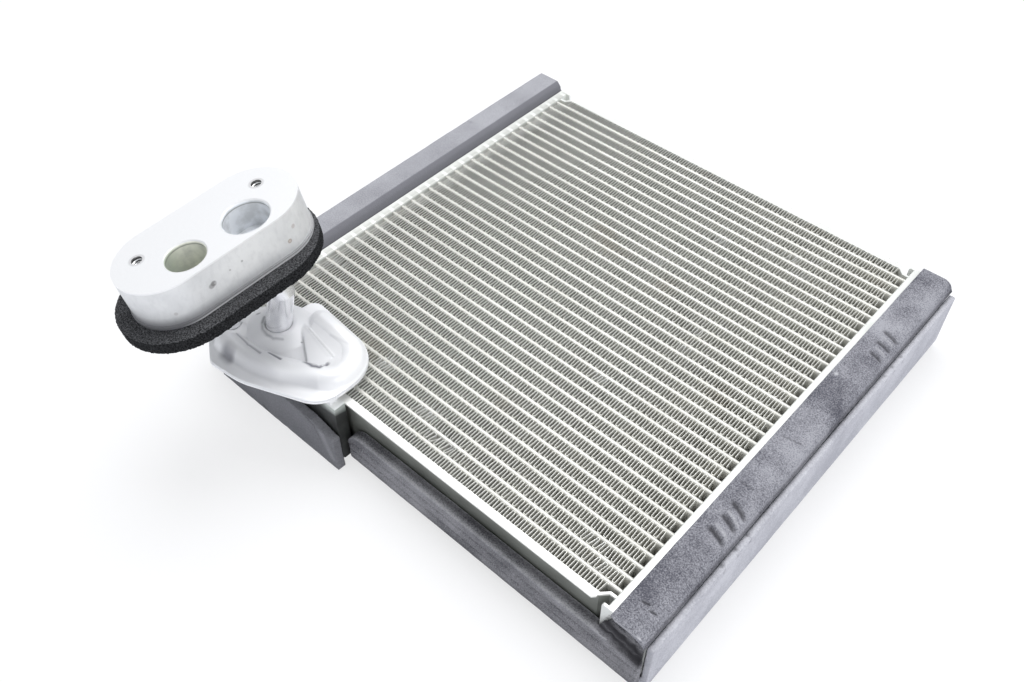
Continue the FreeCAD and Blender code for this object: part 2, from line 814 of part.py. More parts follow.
ridge_first = ridge_path().Edges[0]
ridge_start = ridge_first.valueAt(ridge_first.FirstParameter)


def tongue():
    """Flat wedge that starts beside the collar and widens to a round tip, low over the recess."""
    apex = from_collar(0.083, 0.175)
    left = from_collar(0.532, -0.117)
    tip = from_collar(0.647, -0.071)
    right = from_collar(0.650, 0.102)
    edges = [
        Part.LineSegment(apex, left).toShape(),
        Part.Arc(left, tip, right).toShape(),
        Part.LineSegment(right, apex).toShape(),
    ]
    face = Part.Face(Part.Wire(edges))
    face.translate(vec(0, 0, value("shell_top")))
    return face.extrude(vec(0, 0, value("tongue_height")))


def neck(middle, hollow):
    """Block or, smaller by the wall, the hole of a neck between the duct and the lower shell."""
    inset = value("duct_wall") if hollow else 0.0
    half = value("neck_length") / 2 - inset
    near = value("duct_back_y") - inset
    far = near - value("neck_width") + 2 * inset
    top = value("shell_mid") if hollow else value("shell_floor")
    return box(middle - half, middle + half, far, near, value("core_top"), top)


# Where the block stands, and the way of each pipe from the connector up to it.
block_turn = FreeCAD.Rotation(vec(0, 1, 0), -value("block_lean_left"))
block_turn = block_turn * FreeCAD.Rotation(vec(1, 0, 0), value("block_lean_front"))
block_turn = block_turn * FreeCAD.Rotation(vec(0, 0, 1), -value("block_turn"))
block_spot = vec(value("collar_x - block_left"), value("collar_y - block_front"),
                 value("shell_top + block_rise"))
block_place = FreeCAD.Placement(block_spot, block_turn)


def pipe_route(foot, along, straight):
    """Foot of a pipe, its bend under the block and its end in the block's bore."""
    port_axis = block_turn.multVec(vec(0, 0, 1))
    end = block_place.multVec(vec(value("port_forward"), along, -value("port_depth")))
    below = value(f"block_height - port_depth + ring_height + {straight}")
    return [foot, end - port_axis * below, end]


suction_foot = collar_spot + vec(0, 0, value("shell_mid + collar_height"))
suction_route = pipe_route(suction_foot, value("port_half"), "suction_straight")
liquid_foot = ridge_start + vec(0, 0, value("shell_mid + ridge_height - shell_wall"))
liquid_route = pipe_route(liquid_foot, -value("port_half"), "liquid_straight")


def build_connector():
    wall = value("shell_wall")
    sheet = Part.Face(connector_outline()).extrude(vec(0, 0, wall))

    lower = sheet.copy()
    lower.translate(vec(0, 0, value("shell_floor")))
    middles = [value("liquid_neck_in - half_length"), value("suction_neck_in - half_length")]
    lower = joined([lower] + [neck(middle, False) for middle in middles])
    lower = lower.cut([neck(middle, True) for middle in middles])
    new_feature("connector_lower_shell", lower.removeSplitter())

    upper = sheet.copy()
    upper.translate(vec(0, 0, value("shell_mid")))
    rise = value("collar_height")
    collar_radius = value("suction_diameter / 2 + collar_wall")
    base = collar_spot + vec(0, 0, value("shell_mid"))
    dome = Part.makeCone(value("dome_radius"), collar_radius, rise, base + vec(0, 0, wall))
    upper = joined([upper, ridge(), dome, tongue()])
    pan_half = value("pan_width") / 2
    pan = box(base.x - pan_half, base.x + pan_half, base.y - value("pan_front"),
              base.y + pan_half, base.z, base.z + value("pan_height"))
    holes = [passage(), pan]
    reach = value("ridge_height")
    for route, diameter in ((suction_route, "suction_diameter"), (liquid_route, "liquid_diameter")):
        heading = (route[1] - route[0]).normalize()
        radius = value(diameter) / 2 + value("pipe_fit")
        holes.append(Part.makeCylinder(radius, 2 * reach, route[0] - heading * reach, heading))
    upper = upper.cut(holes)
    new_feature("connector_upper_shell", upper.removeSplitter())


build_connector()


# Machined block. It leans outwards on its two pipes, with both ports in a line near its inner
# edge and a threaded hole near each end. A low foot stands out round its lower edge.
placed_on_block = []


def build_block():
    body = new_body("connector_block")
    outline = new_sketch(body, "XY_Plane", "0")
    add_slot(outline, "block_half", "block_radius")
    add_pad(body, outline, "block_height", reverse=True)
    foot = new_sketch(body, "XY_Plane", "-block_height")
    add_slot(foot, "block_half", "block_radius + foot_reach")
    add_pad(body, foot, "foot_height")
    ports = (
        ("port_half", "suction_port", "suction_diameter"),
        ("-port_half", "liquid_port", "liquid_diameter"),
    )
    for along, radius, pipe in ports:
        mouth = new_sketch(body, "XY_Plane", "0")
        add_circle(mouth, "port_forward", along, radius)
        add_pocket(body, mouth, "port_depth")
        bore = new_sketch(body, "XY_Plane", "-block_height")
        add_circle(bore, "port_forward", along, f"{pipe} / 2 + pipe_fit")
        add_pocket(body, bore, "block_height - port_depth", reverse=True)
    bolts = new_sketch(body, "XY_Plane", "0")
    add_circle(bolts, "-bolt_back", "bolt_half", "bolt_hole")
    add_circle(bolts, "-bolt_back", "-bolt_half", "bolt_hole")
    add_pocket(body, bolts, "bolt_depth")
    rims = [("port_forward", "port_half", "0"), ("port_forward", "-port_half", "0")]
    add_rounding(body, rims, ("x", "y", "z"), "port_chamfer", "Chamfer")
    placed_on_block.append(body)


# Foam ring. A thick charcoal foam pad under the block's foot, wider than the foot all round but
# less at its back end, with one long hole for both pipes.
def build_block_ring():
    body = new_body("block_foam_ring")
    outline = new_sketch(body, "XY_Plane", "-block_height")
    half = "block_half - ring_shift"
    add_slot(outline, half, "block_radius + ring_reach", "0", "-ring_shift")
    add_pad(body, outline, "ring_height", reverse=True)
    hole = new_sketch(body, "XY_Plane", "-block_height")
    add_slot(hole, "port_half", "suction_diameter / 2 + ring_hole", "port_forward")
    add_pocket(body, hole, "ring_height")
    placed_on_block.append(body)


build_block()
build_block_ring()
for body in placed_on_block:
    body.Placement = block_place


# Pipes. Each leans from the connector to a bend that is hidden in the foam ring under the block,
# and ends inside the block's bore.
def bent_bar(route, radius):
    """Round bar along the route, its two straight runs cut to one slant where they meet."""
    foot, bend, end = route
    heading = (bend - foot).normalize()
    leaving = (end - bend).normalize()
    slant = (heading + leaving).normalize()
    far = 4 * radius
    first = Part.makeCylinder(radius, (bend - foot).Length + radius, foot, heading)
    first = first.cut(Part.makeCylinder(far, far, bend, slant))
    second = Part.makeCylinder(radius, (end - bend).Length + radius, end, -leaving)
    second = second.cut(Part.makeCylinder(far, far, bend, -slant))
    return first.fuse(second)


def build_pipe(label, route, diameter):
    outer = value(diameter) / 2
    new_feature(label, bent_bar(route, outer).cut(bent_bar(route, outer - value("pipe_wall"))))


build_pipe("suction_pipe", suction_route, "suction_diameter")
build_pipe("liquid_pipe", liquid_route, "liquid_diameter")


# Foam on the tanks. The left tank carries a thick strip on top, the right tank a thin sheet
# that follows the tank's shoulder, and both have a thin sheet down the outer side that turns
# under the tank, which is what the part lies on.
def build_top_foam(side, sign, outline, past_back, past_front):
    body = new_body(side + "_top_foam")
    sketch = new_sketch(body, "XZ_Plane", f"-flange_y - {past_back}")
    add_loop(sketch, [(f"{sign} * ({x})", z) for x, z in outline])
    add_pad(body, sketch, f"2 * flange_y + {past_back} + {past_front}")


def build_side_foam(side, sign):
    body = new_body(side + "_side_foam")
    sketch = new_sketch(body, "XZ_Plane", "-flange_y - foam_over")
    inner = "crown_x + foam_fit"
    outer = "crown_x + foam_fit + foam_side"
    under = "tank_floor - foam_fit"
    add_loop(sketch, [
        (f"{sign} * header_x", "0"),
        (f"{sign} * ({inner})", "0"),
        (f"{sign} * ({outer})", "foam_side"),
        (f"{sign} * ({outer})", "cover_top - 0.8 * lobe_radius"),
        (f"{sign} * ({inner})", "cover_top - 0.8 * lobe_radius"),
        (f"{sign} * ({inner})", "lobe_radius + foam_thin"),
        (f"{sign} * ({inner} - 1.2 * lobe_radius)", under),
        (f"{sign} * header_x", under),
    ])
    add_pad(body, sketch, "2 * flange_y + foam_over")


foam_seat = [
    ("crown_x + foam_fit", "cover_top - lobe_radius / 2"),
    ("crown_x - 0.4 * lobe_radius", "cover_top + foam_fit - 0.25 * lobe_radius"),
    ("crown_x - 1.2 * lobe_radius", "cover_top + foam_fit"),
    ("lip_x + foam_fit", "cover_top + foam_fit"),
]
build_top_foam("left", -1, foam_seat + [
    ("lip_x + foam_fit + foam_thick / 4", "cover_top + foam_fit + foam_thick * 0.7"),
    ("lip_x + foam_fit + foam_thick * 0.65", "cover_top + foam_fit + foam_thick"),
    ("crown_x + foam_side * 0.6", "cover_top + foam_fit + foam_thick"),
    ("crown_x + foam_fit + foam_side", "cover_top + foam_thick / 2"),
    ("crown_x + foam_fit + foam_side", "cover_top - lobe_radius / 2"),
], "foam_over / 4", "0")
build_top_foam("right", 1, foam_seat + [
    ("lip_x + foam_fit", "tank_top + foam_fit"),
    ("lip_x - foam_fit - tank_rim", "tank_top + foam_fit"),
    ("lip_x - foam_fit - tank_rim", "cover_top + foam_fit + foam_thin"),
    ("crown_x - 0.7 * lobe_radius", "cover_top + foam_fit + foam_thin"),
    ("crown_x - 0.2 * lobe_radius", "cover_top + 0.6 * foam_thin"),
    ("crown_x + foam_fit + foam_thin / 2", "cover_top - lobe_radius / 2"),
], "foam_over", "strip_fold")
build_side_foam("left", -1)
build_side_foam("right", 1)


# Front foam. A strip lies in the channel of the front side plate and runs on past the right
# tank, where a part of it is folded up over the tank's end cap. A thin flap hangs down over the
# side duct to the floor.
def build_front_foam():
    strip = new_body("front_foam_strip")
    sketch = new_sketch(strip, "XY_Plane", "core_floor + plate_wall + foam_fit")
    end = "half_length + strip_over"
    back = "-flange_y - foam_fit"
    front = "-flange_y - strip_depth"
    root = "-web_y - plate_wall - foam_fit"
    seat = "half_length - cap_tab - foam_fit"
    add_loop(sketch, [
        ("strip_left_x", root),
        ("strip_left_x", front),
        (end, front),
        (end, back),
        (seat, back),
        (seat, root),
    ])
    add_pad(strip, sketch, "strip_top - core_floor - plate_wall - foam_fit")
    fold = new_sketch(strip, "XZ_Plane", "flange_y + foam_fit")
    add_loop(fold, [
        ("half_length - cap_tab", "strip_top"),
        ("crown_x + foam_fit", "strip_top"),
        ("crown_x + foam_fit", "cover_top - foam_fit - lobe_radius / 2"),
        ("crown_x - 1.2 * lobe_radius", "cover_top - foam_fit"),
        ("lip_x - tank_rim", "cover_top - foam_fit"),
        ("half_length", "cover_top - 1.2 * lobe_radius"),
    ])
    add_pad(strip, fold, "strip_fold - foam_fit")
    flap = new_body("front_left_foam_flap")
    sketch = new_sketch(flap, "XZ_Plane", "flange_y + duct_depth + foam_fit")
    right = "strip_left_x - foam_fit"
    add_loop(sketch, [
        ("-half_length - flap_over", "0"),
        (right, "0"),
        (f"{right} - foam_fit", "strip_top - foam_thin"),
        (f"{right} - flap_slant", "flap_top"),
        ("-half_length - flap_over", "flap_top"),
    ])
    add_pad(flap, sketch, "flap_depth")


build_front_foam()
doc.recompute()

# The finished part's origin is on the surface that it lies on, under the middle of its box.
pieces = [o for o in doc.Objects if o.TypeId in ("PartDesign::Body", "Part::Feature")]
for piece in pieces:
    for item in [piece] + list(getattr(piece, "Group", [])):
        if "Invalid" in item.State or "Error" in item.State:
            raise ValueError(f"{piece.Label}: {item.Label} did not build: {item.State}")
    if piece.Shape.isNull() or not piece.Shape.isValid() or not piece.Shape.Solids:
        raise ValueError(f"{piece.Label} has no valid solid")
whole = FreeCAD.BoundBox()
for piece in pieces:
    whole.add(piece.Shape.BoundBox)
middle = vec(-whole.Center.x, -whole.Center.y, 0)
for piece in pieces:
    piece.Placement = FreeCAD.Placement(middle, FreeCAD.Rotation()) * piece.Placement
doc.recompute()

for piece in pieces:
    piece.Shape.exportStep(f"parts/{piece.Label}.step")
print("box", whole, "moved by", middle)
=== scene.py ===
import math
import bpy
from mathutils import Matrix, Vector, noise


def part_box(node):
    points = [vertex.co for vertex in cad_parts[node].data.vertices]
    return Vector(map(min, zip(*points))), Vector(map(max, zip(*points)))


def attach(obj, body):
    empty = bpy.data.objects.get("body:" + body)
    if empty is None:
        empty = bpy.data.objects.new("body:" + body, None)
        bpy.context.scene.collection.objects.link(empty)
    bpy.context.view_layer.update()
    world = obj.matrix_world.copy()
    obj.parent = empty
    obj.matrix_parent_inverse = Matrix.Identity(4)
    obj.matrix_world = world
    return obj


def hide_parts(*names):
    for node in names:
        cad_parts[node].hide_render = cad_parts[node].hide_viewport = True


# Air conditioning evaporator core of a car, lying flat on its foam. X runs along the tubes, Y
# across them and Z up. All sizes are in metres.
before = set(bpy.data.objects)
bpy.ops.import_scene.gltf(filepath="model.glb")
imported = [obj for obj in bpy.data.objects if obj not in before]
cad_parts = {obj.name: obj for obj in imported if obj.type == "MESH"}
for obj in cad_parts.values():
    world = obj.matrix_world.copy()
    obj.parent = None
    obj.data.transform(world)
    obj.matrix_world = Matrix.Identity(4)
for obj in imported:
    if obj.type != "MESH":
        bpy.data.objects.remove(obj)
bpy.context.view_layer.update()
scene = bpy.context.scene
scene.view_settings.view_transform = "Standard"


# Camera. It stands in front of the right end and looks down over the core at the block.
camera_place = (0.2154, -0.2641, 0.4087)
camera_heading = Vector((-0.447, 0.496, -0.744))
camera_data = bpy.data.cameras.new("camera")
camera_data.lens = 35.4
camera_data.sensor_width = 36.0
camera = bpy.data.objects.new("camera", camera_data)
camera.location = camera_place
camera.rotation_euler = camera_heading.to_track_quat("-Z", "Y").to_euler()
scene.collection.objects.link(camera)
scene.camera = camera


# Light. A white room with a broad soft lamp overhead and a weaker one from the right.
world = bpy.data.worlds.new("white_room")
world.use_nodes = True
scene.world = world
room = world.node_tree
room_light = room.nodes["Background"]
room_light.inputs["Color"].default_value = (0.93, 0.96, 1.0, 1.0)
room_light.inputs["Strength"].default_value = 0.62
seen_white = room.nodes.new("ShaderNodeBackground")
seen_white.inputs["Color"].default_value = (1.0, 1.0, 1.0, 1.0)
which_ray = room.nodes.new("ShaderNodeLightPath")
room_choice = room.nodes.new("ShaderNodeMixShader")
room.links.new(which_ray.outputs["Is Camera Ray"], room_choice.inputs[0])
room.links.new(room_light.outputs[0], room_choice.inputs[1])
room.links.new(seen_white.outputs[0], room_choice.inputs[2])
room.links.new(room_choice.outputs[0], room.nodes["World Output"].inputs["Surface"])


def add_lamp(name, place, target, width, power):
    """Soft square lamp that faces a target."""
    data = bpy.data.lights.new(name, "AREA")
    data.shape = "SQUARE"
    data.size = width
    data.energy = power
    lamp = bpy.data.objects.new(name, data)
    lamp.location = place
    lamp.rotation_euler = (Vector(target) - Vector(place)).to_track_quat("-Z", "Y").to_euler()
    scene.collection.objects.link(lamp)


add_lamp("overhead", (-0.25, 0.35, 1.3), (0.0, 0.02, 0.0), 0.9, 13.0)
add_lamp("from_right", (1.2, -0.3, 0.7), (0.0, 0.0, 0.03), 0.8, 5.0)


# Floor. A white sheet that keeps the soft shadow and is otherwise as white as the room.
FLOOR_HALF = 3.0
FLOOR_DROP = 0.0003
FLOOR_GLOW = 0.68


def add_floor():
    """White sheet. A part of it glows for the camera, so that it ends up as white as the room."""
    mesh = bpy.data.meshes.new("floor")
    corners = [(x * FLOOR_HALF, y * FLOOR_HALF, 0) for x, y in ((-1, -1), (1, -1), (1, 1), (-1, 1))]
    mesh.from_pydata(corners, [], [(0, 1, 2, 3)])
    material = bpy.data.materials.new("floor_white")
    material.use_nodes = True
    tree = material.node_tree
    paper = tree.nodes["Principled BSDF"]
    paper.inputs["Base Color"].default_value = (0.93, 0.935, 0.96, 1.0)
    paper.inputs["Roughness"].default_value = 1.0
    paper.inputs["Specular IOR Level"].default_value = 0.0
    glow = tree.nodes.new("ShaderNodeEmission")
    glow.inputs["Color"].default_value = (1.0, 1.0, 1.0, 1.0)
    ray = tree.nodes.new("ShaderNodeLightPath")
    share = tree.nodes.new("ShaderNodeMath")
    share.operation = "MULTIPLY"
    share.inputs[1].default_value = FLOOR_GLOW
    tree.links.new(ray.outputs["Is Camera Ray"], share.inputs[0])
    mix = tree.nodes.new("ShaderNodeMixShader")
    tree.links.new(share.outputs[0], mix.inputs[0])
    tree.links.new(paper.outputs[0], mix.inputs[1])
    tree.links.new(glow.outputs[0], mix.inputs[2])
    tree.links.new(mix.outputs[0], tree.nodes["Material Output"].inputs["Surface"])
    mesh.materials.append(material)
    floor = bpy.data.objects.new("floor", mesh)
    floor.location = (0.0, 0.0, -FLOOR_DROP)
    scene.collection.objects.link(floor)


add_floor()


# Flat tubes. Two rows of extruded aluminium strips, brazed into the header plates at both ends.
# They are pale, a little uneven in tone along their length, and carry specks of flux.
TUBE_ROUNDING = 0.00075
TUBE_LIGHT = (0.83, 0.82, 0.77, 1.0)
TUBE_DULL = (0.70, 0.69, 0.64, 1.0)
TUBE_STREAK = (0.4, 3, 1)


class Amount:
    """A socket of a material. Python's operators on it add Math nodes."""

    def __init__(self, tree, socket):
        self.tree = tree
        self.socket = socket

    def maths(self, operation, first, second, clamp=False):
        node = self.tree.nodes.new("ShaderNodeMath")
        node.operation = operation
        node.use_clamp = clamp
        for slot, item in enumerate((first, second)):
            if isinstance(item, Amount):
                self.tree.links.new(item.socket, node.inputs[slot])
            else:
                node.inputs[slot].default_value = item
        return Amount(self.tree, node.outputs[0])

    def __add__(self, other):
        return self.maths("ADD", self, other)

    def __radd__(self, other):
        return self.maths("ADD", other, self)

    def __sub__(self, other):
        return self.maths("SUBTRACT", self, other)

    def __rsub__(self, other):
        return self.maths("SUBTRACT", other, self)

    def __mul__(self, other):
        return self.maths("MULTIPLY", self, other)

    def __rmul__(self, other):
        return self.maths("MULTIPLY", other, self)

    def fit(self, low, high):
        """0 at low, 1 at high, straight between them."""
        return self.maths("MULTIPLY", self - low, 1.0 / (high - low), clamp=True)


class Finish:
    """One procedural material, with its nodes added by a single method."""

    def __init__(self, name, roughness=0.5, metallic=0.0, specular=0.5):
        self.material = bpy.data.materials.new(name)
        self.material.use_nodes = True
        self.tree = self.material.node_tree
        self.shader = self.tree.nodes["Principled BSDF"]
        self.shader.inputs["Roughness"].default_value = roughness
        self.shader.inputs["Metallic"].default_value = metallic
        self.shader.inputs["Specular IOR Level"].default_value = specular
        self.place = self.node("ShaderNodeTexCoord", output="Object")

    def node(self, kind, settings=None, values=None, output=0):
        """Add a node. Its settings come first, then the values or links of its sockets."""
        node = self.tree.nodes.new(kind)
        for name, setting in (settings or {}).items():
            setattr(node, name, setting)
        for name, item in (values or {}).items():
            if isinstance(item, Amount):
                self.tree.links.new(item.socket, node.inputs[name])
            else:
                node.inputs[name].default_value = item
        return Amount(self.tree, node.outputs[output])

    def stretched(self, scale):
        """Object coordinates with each axis stretched."""
        return self.node("ShaderNodeMapping", values={"Vector": self.place, "Scale": scale})

    def noise(self, scale, detail=2.0, stretch=(1, 1, 1), roughness=0.5):
        values = {"Vector": self.stretched(stretch), "Scale": scale, "Detail": detail,
                  "Roughness": roughness}
        return self.node("ShaderNodeTexNoise", values=values)

    def pores(self, scale, stretch=(1, 1, 1)):
        """Distance to the middle of the nearest cell, 0 in each middle."""
        return self.node("ShaderNodeTexVoronoi",
                         values={"Vector": self.stretched(stretch), "Scale": scale})

    def blend(self, factor, first, second):
        """Colour between two colours."""
        return self.node("ShaderNodeMix", {"data_type": "RGBA"},
                         {"Factor": factor, 6: first, 7: second}, output=2)

    def axis(self, name, place=None):
        return self.node("ShaderNodeSeparateXYZ", values={0: place or self.place}, output=name)

    def away(self, centre, place=None):
        """Distance from a fixed point."""
        return self.node("ShaderNodeVectorMath", {"operation": "DISTANCE"},
                         {0: place or self.place, 1: centre}, output="Value")

    def own(self, name):
        """Value that the mesh itself carries."""
        return self.node("ShaderNodeAttribute", {"attribute_name": name}, output="Fac")

    def facing(self, name):
        """How far the surface faces along an axis."""
        return self.axis(name, self.node("ShaderNodeTexCoord", output="Normal"))

    def colour(self, item):
        self.feed("Base Color", item)

    def feed(self, name, item):
        self.tree.links.new(item.socket, self.shader.inputs[name])

    def bump(self, height, strength, distance):
        normal = self.node("ShaderNodeBump",
                           values={"Height": height, "Strength": strength, "Distance": distance})
        self.feed("Normal", normal)


def flux_specks(finish, pale):
    """Small grey specks of flux, all over."""
    speck = finish.noise(900.0, 2.0).fit(0.62, 0.72)
    return finish.blend(speck * 0.35, pale, (0.42, 0.41, 0.38, 1.0))


def brazed_finish(name, light, low_tone, streak=(1, 1, 1), overlay=flux_specks):
    """Pale aluminium straight from the brazing furnace, with one more layer on top made by the
    given function: specks of flux unless another is given, such as the painted shade between the
    tubes of the right plate.
    """
    finish = Finish(name, roughness=0.42, metallic=0.35)
    cloud = finish.noise(70.0, 4.0, streak)
    pale = finish.blend(cloud.fit(0.35, 0.7), light, low_tone)
    finish.colour(overlay(finish, pale))
    finish.feed("Roughness", 0.36 + cloud * 0.2)
    finish.bump(finish.noise(1400.0, 3.0), 0.25, 0.0002)
    return finish


def merged_copy(name, node_name):
    """Copy of a CAD piece with its corners merged."""
    piece = bpy.data.objects.new(name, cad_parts[node_name].data.copy())
    scene.collection.objects.link(piece)
    weld = piece.modifiers.new("weld", "WELD")
    weld.merge_threshold = 0.000005
    return piece


def settle(piece):
    """Turn a piece with modifiers into a plain mesh."""
    depsgraph = bpy.context.evaluated_depsgraph_get()
    mesh = bpy.data.meshes.new_from_object(piece.evaluated_get(depsgraph))
    piece.modifiers.clear()
    mesh.name = piece.name
    piece.data = mesh


def add_tube_row(name, node_name):
    """Row of tubes whose narrow edges are rounded, as extruded tubes are."""
    piece = merged_copy(name, node_name)
    bevel = piece.modifiers.new("round", "BEVEL")
    bevel.width = TUBE_ROUNDING
    bevel.segments = 3
    bevel.limit_method = "ANGLE"
    settle(piece)
    piece.data.materials.clear()
    piece.data.materials.append(tube_metal.material)
    piece.data.polygons.foreach_set("use_smooth", [True] * len(piece.data.polygons))
    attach(piece, "root")
    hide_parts(node_name)


tube_metal = brazed_finish("tube_metal", TUBE_LIGHT, TUBE_DULL, TUBE_STREAK)
add_tube_row("upper_tubes", "upper_tube_row")
add_tube_row("lower_tubes", "lower_tube_row")


# Corrugated fins. Thin aluminium sheet with louvres cut into every leg, folded to and fro between
# each two tubes and brazed to them. Some folds are knocked over or crushed.
tube_low, tube_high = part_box("upper_tube_row")
fin_low, fin_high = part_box("fin_pack")
TUBE_COUNT = 35
STRIP_COUNT = TUBE_COUNT + 1
TUBE_THICKNESS = 0.0018
PITCH = (tube_high[1] - tube_low[1] - TUBE_THICKNESS) / (TUBE_COUNT - 1)
FIN_HEIGHT = PITCH - TUBE_THICKNESS
CORE_MIDDLE_Y = (tube_low[1] + tube_high[1]) / 2
LEG_SPACING = 0.001587
SHEET = 0.00013
CORE_TOP = fin_high[2]
CORE_DEPTH = fin_high[2] - fin_low[2]
# A leg is four columns of a grid, gathered to a share of the spacing, and the slope sets how
# steeply they cross from tube to tube. The grid's rows are gathered towards the top by a power.
LEG_COLUMNS = 4
LEG_SHARE = 0.35
LEG_SLOPE = 6.4
STRIP_ROWS = 4
ROW_POWER = 0.32


class Tree:
    """A geometry tree under construction."""

    def __init__(self, name, inputs):
        self.group = bpy.data.node_groups.new(name, "GeometryNodeTree")
        self.identifiers = {}
        for label, kind, value in inputs:
            item = self.group.interface.new_socket(label, in_out="INPUT", socket_type=kind)
            if value is not None:
                item.default_value = value
            self.identifiers[label] = item.identifier
        self.group.interface.new_socket("Geometry", in_out="OUTPUT",
                                        socket_type="NodeSocketGeometry")
        self.entry = self.group.nodes.new("NodeGroupInput")

    def given(self, label):
        return self.entry.outputs[label]

    def node(self, kind, settings=None, values=None, output=0):
        node = self.group.nodes.new(kind)
        for name, setting in (settings or {}).items():
            setattr(node, name, setting)
        for name, item in (values or {}).items():
            if isinstance(item, bpy.types.NodeSocket):
                self.group.links.new(item, node.inputs[name])
            else:
                node.inputs[name].default_value = item
        return node.outputs[output]

    def maths(self, operation, first, second=0.0, third=0.0):
        return self.node("ShaderNodeMath", {"operation": operation},
                         {0: first, 1: second, 2: third})

    def finish(self, geometry):
        exit_node = self.group.nodes.new("NodeGroupOutput")
        self.group.links.new(geometry, exit_node.inputs[0])


def mesh_from_tree(name, tree, inputs):
    """Plain mesh object made by a geometry tree with the given inputs."""
    carrier = bpy.data.objects.new(name + "_carrier", bpy.data.meshes.new(name + "_carrier"))
    scene.collection.objects.link(carrier)
    modifier = carrier.modifiers.new("tree", "NODES")
    modifier.node_group = tree.group
    for label, value in inputs.items():
        modifier[tree.identifiers[label]] = value
    depsgraph = bpy.context.evaluated_depsgraph_get()
    mesh = bpy.data.meshes.new_from_object(carrier.evaluated_get(depsgraph))
    mesh.name = name
    bpy.data.objects.remove(carrier)
    piece = bpy.data.objects.new(name, mesh)
    scene.collection.objects.link(piece)
    return piece


def strip_tree():
    """Rows of folded strips. Each is a grid whose columns step to and fro between the tubes."""
    tree = Tree("folded_strips", [
        ("Length", "NodeSocketFloat", 0.2),
        ("Legs", "NodeSocketInt", 174),
        ("Height", "NodeSocketFloat", 0.005),
        ("Depth", "NodeSocketFloat", 0.038),
        ("Strips", "NodeSocketInt", 4),
        ("Pitch", "NodeSocketFloat", 0.007),
        ("First strip", "NodeSocketVector", None),
        ("Metal", "NodeSocketMaterial", None),
    ])
    columns = tree.maths("ADD", tree.maths("MULTIPLY", tree.given("Legs"), LEG_COLUMNS), 1.0)
    grid = tree.node("GeometryNodeMeshGrid", values={
        "Size X": tree.given("Length"), "Size Y": tree.given("Depth"),
        "Vertices X": columns, "Vertices Y": STRIP_ROWS})
    spot = tree.node("GeometryNodeInputPosition")
    split = tree.node("ShaderNodeSeparateXYZ", values={0: spot})
    x, y = split, split.node.outputs[1]
    # The columns of a leg are drawn together about its middle, so that it stands square to the
    # tubes and turns round over them.
    leg = tree.maths("DIVIDE", tree.given("Length"), tree.given("Legs"))
    count = tree.maths("ADD", tree.maths("DIVIDE", x, leg), 0.5 / LEG_COLUMNS)
    number = tree.maths("ROUND", count)
    rest = tree.maths("SUBTRACT", count, number)
    x = tree.maths("MULTIPLY", tree.maths("MULTIPLY_ADD", rest, LEG_SHARE, number), leg)
    side = tree.maths("COSINE", tree.maths("MULTIPLY", number, math.pi))
    wave = tree.maths("MULTIPLY", tree.maths("MULTIPLY", rest, side), LEG_SLOPE)
    wave = tree.maths("MAXIMUM", tree.maths("MINIMUM", wave, 1.0), -1.0)
    across = tree.maths("MULTIPLY", wave, tree.maths("MULTIPLY", tree.given("Height"), 0.5))
    # The two middle rows of the grid lie just under the top, where folds are bent.
    share = tree.maths("ADD", tree.maths("DIVIDE", y, tree.given("Depth")), 0.5)
    share = tree.maths("POWER", share, ROW_POWER)
    height = tree.maths("MULTIPLY", tree.maths("SUBTRACT", share, 1.0), tree.given("Depth"))
    moved = tree.node("ShaderNodeCombineXYZ", values={0: x, 1: across, 2: height})
    folded = tree.node("GeometryNodeSetPosition", values={"Geometry": grid, "Position": moved})
    step = tree.node("ShaderNodeCombineXYZ", values={1: tree.given("Pitch")})
    spots = tree.node("GeometryNodeMeshLine", {"mode": "OFFSET"}, {
        "Count": tree.given("Strips"), "Start Location": tree.given("First strip"),
        "Offset": step})
    copies = tree.node("GeometryNodeInstanceOnPoints", values={
        "Points": spots, "Instance": folded})
    real = tree.node("GeometryNodeRealizeInstances", values={"Geometry": copies})
    dressed = tree.node("GeometryNodeSetMaterial", values={
        "Geometry": real, "Material": tree.given("Metal")})
    tree.finish(dressed)
    return tree


# Painted shade in the gaps of the fins grows darker towards the left tank, where flux makes a
# ragged pale edge.
FIN_REACH = 0.118
HAZE_LEFT, HAZE_RIGHT = -0.1175, -0.1090


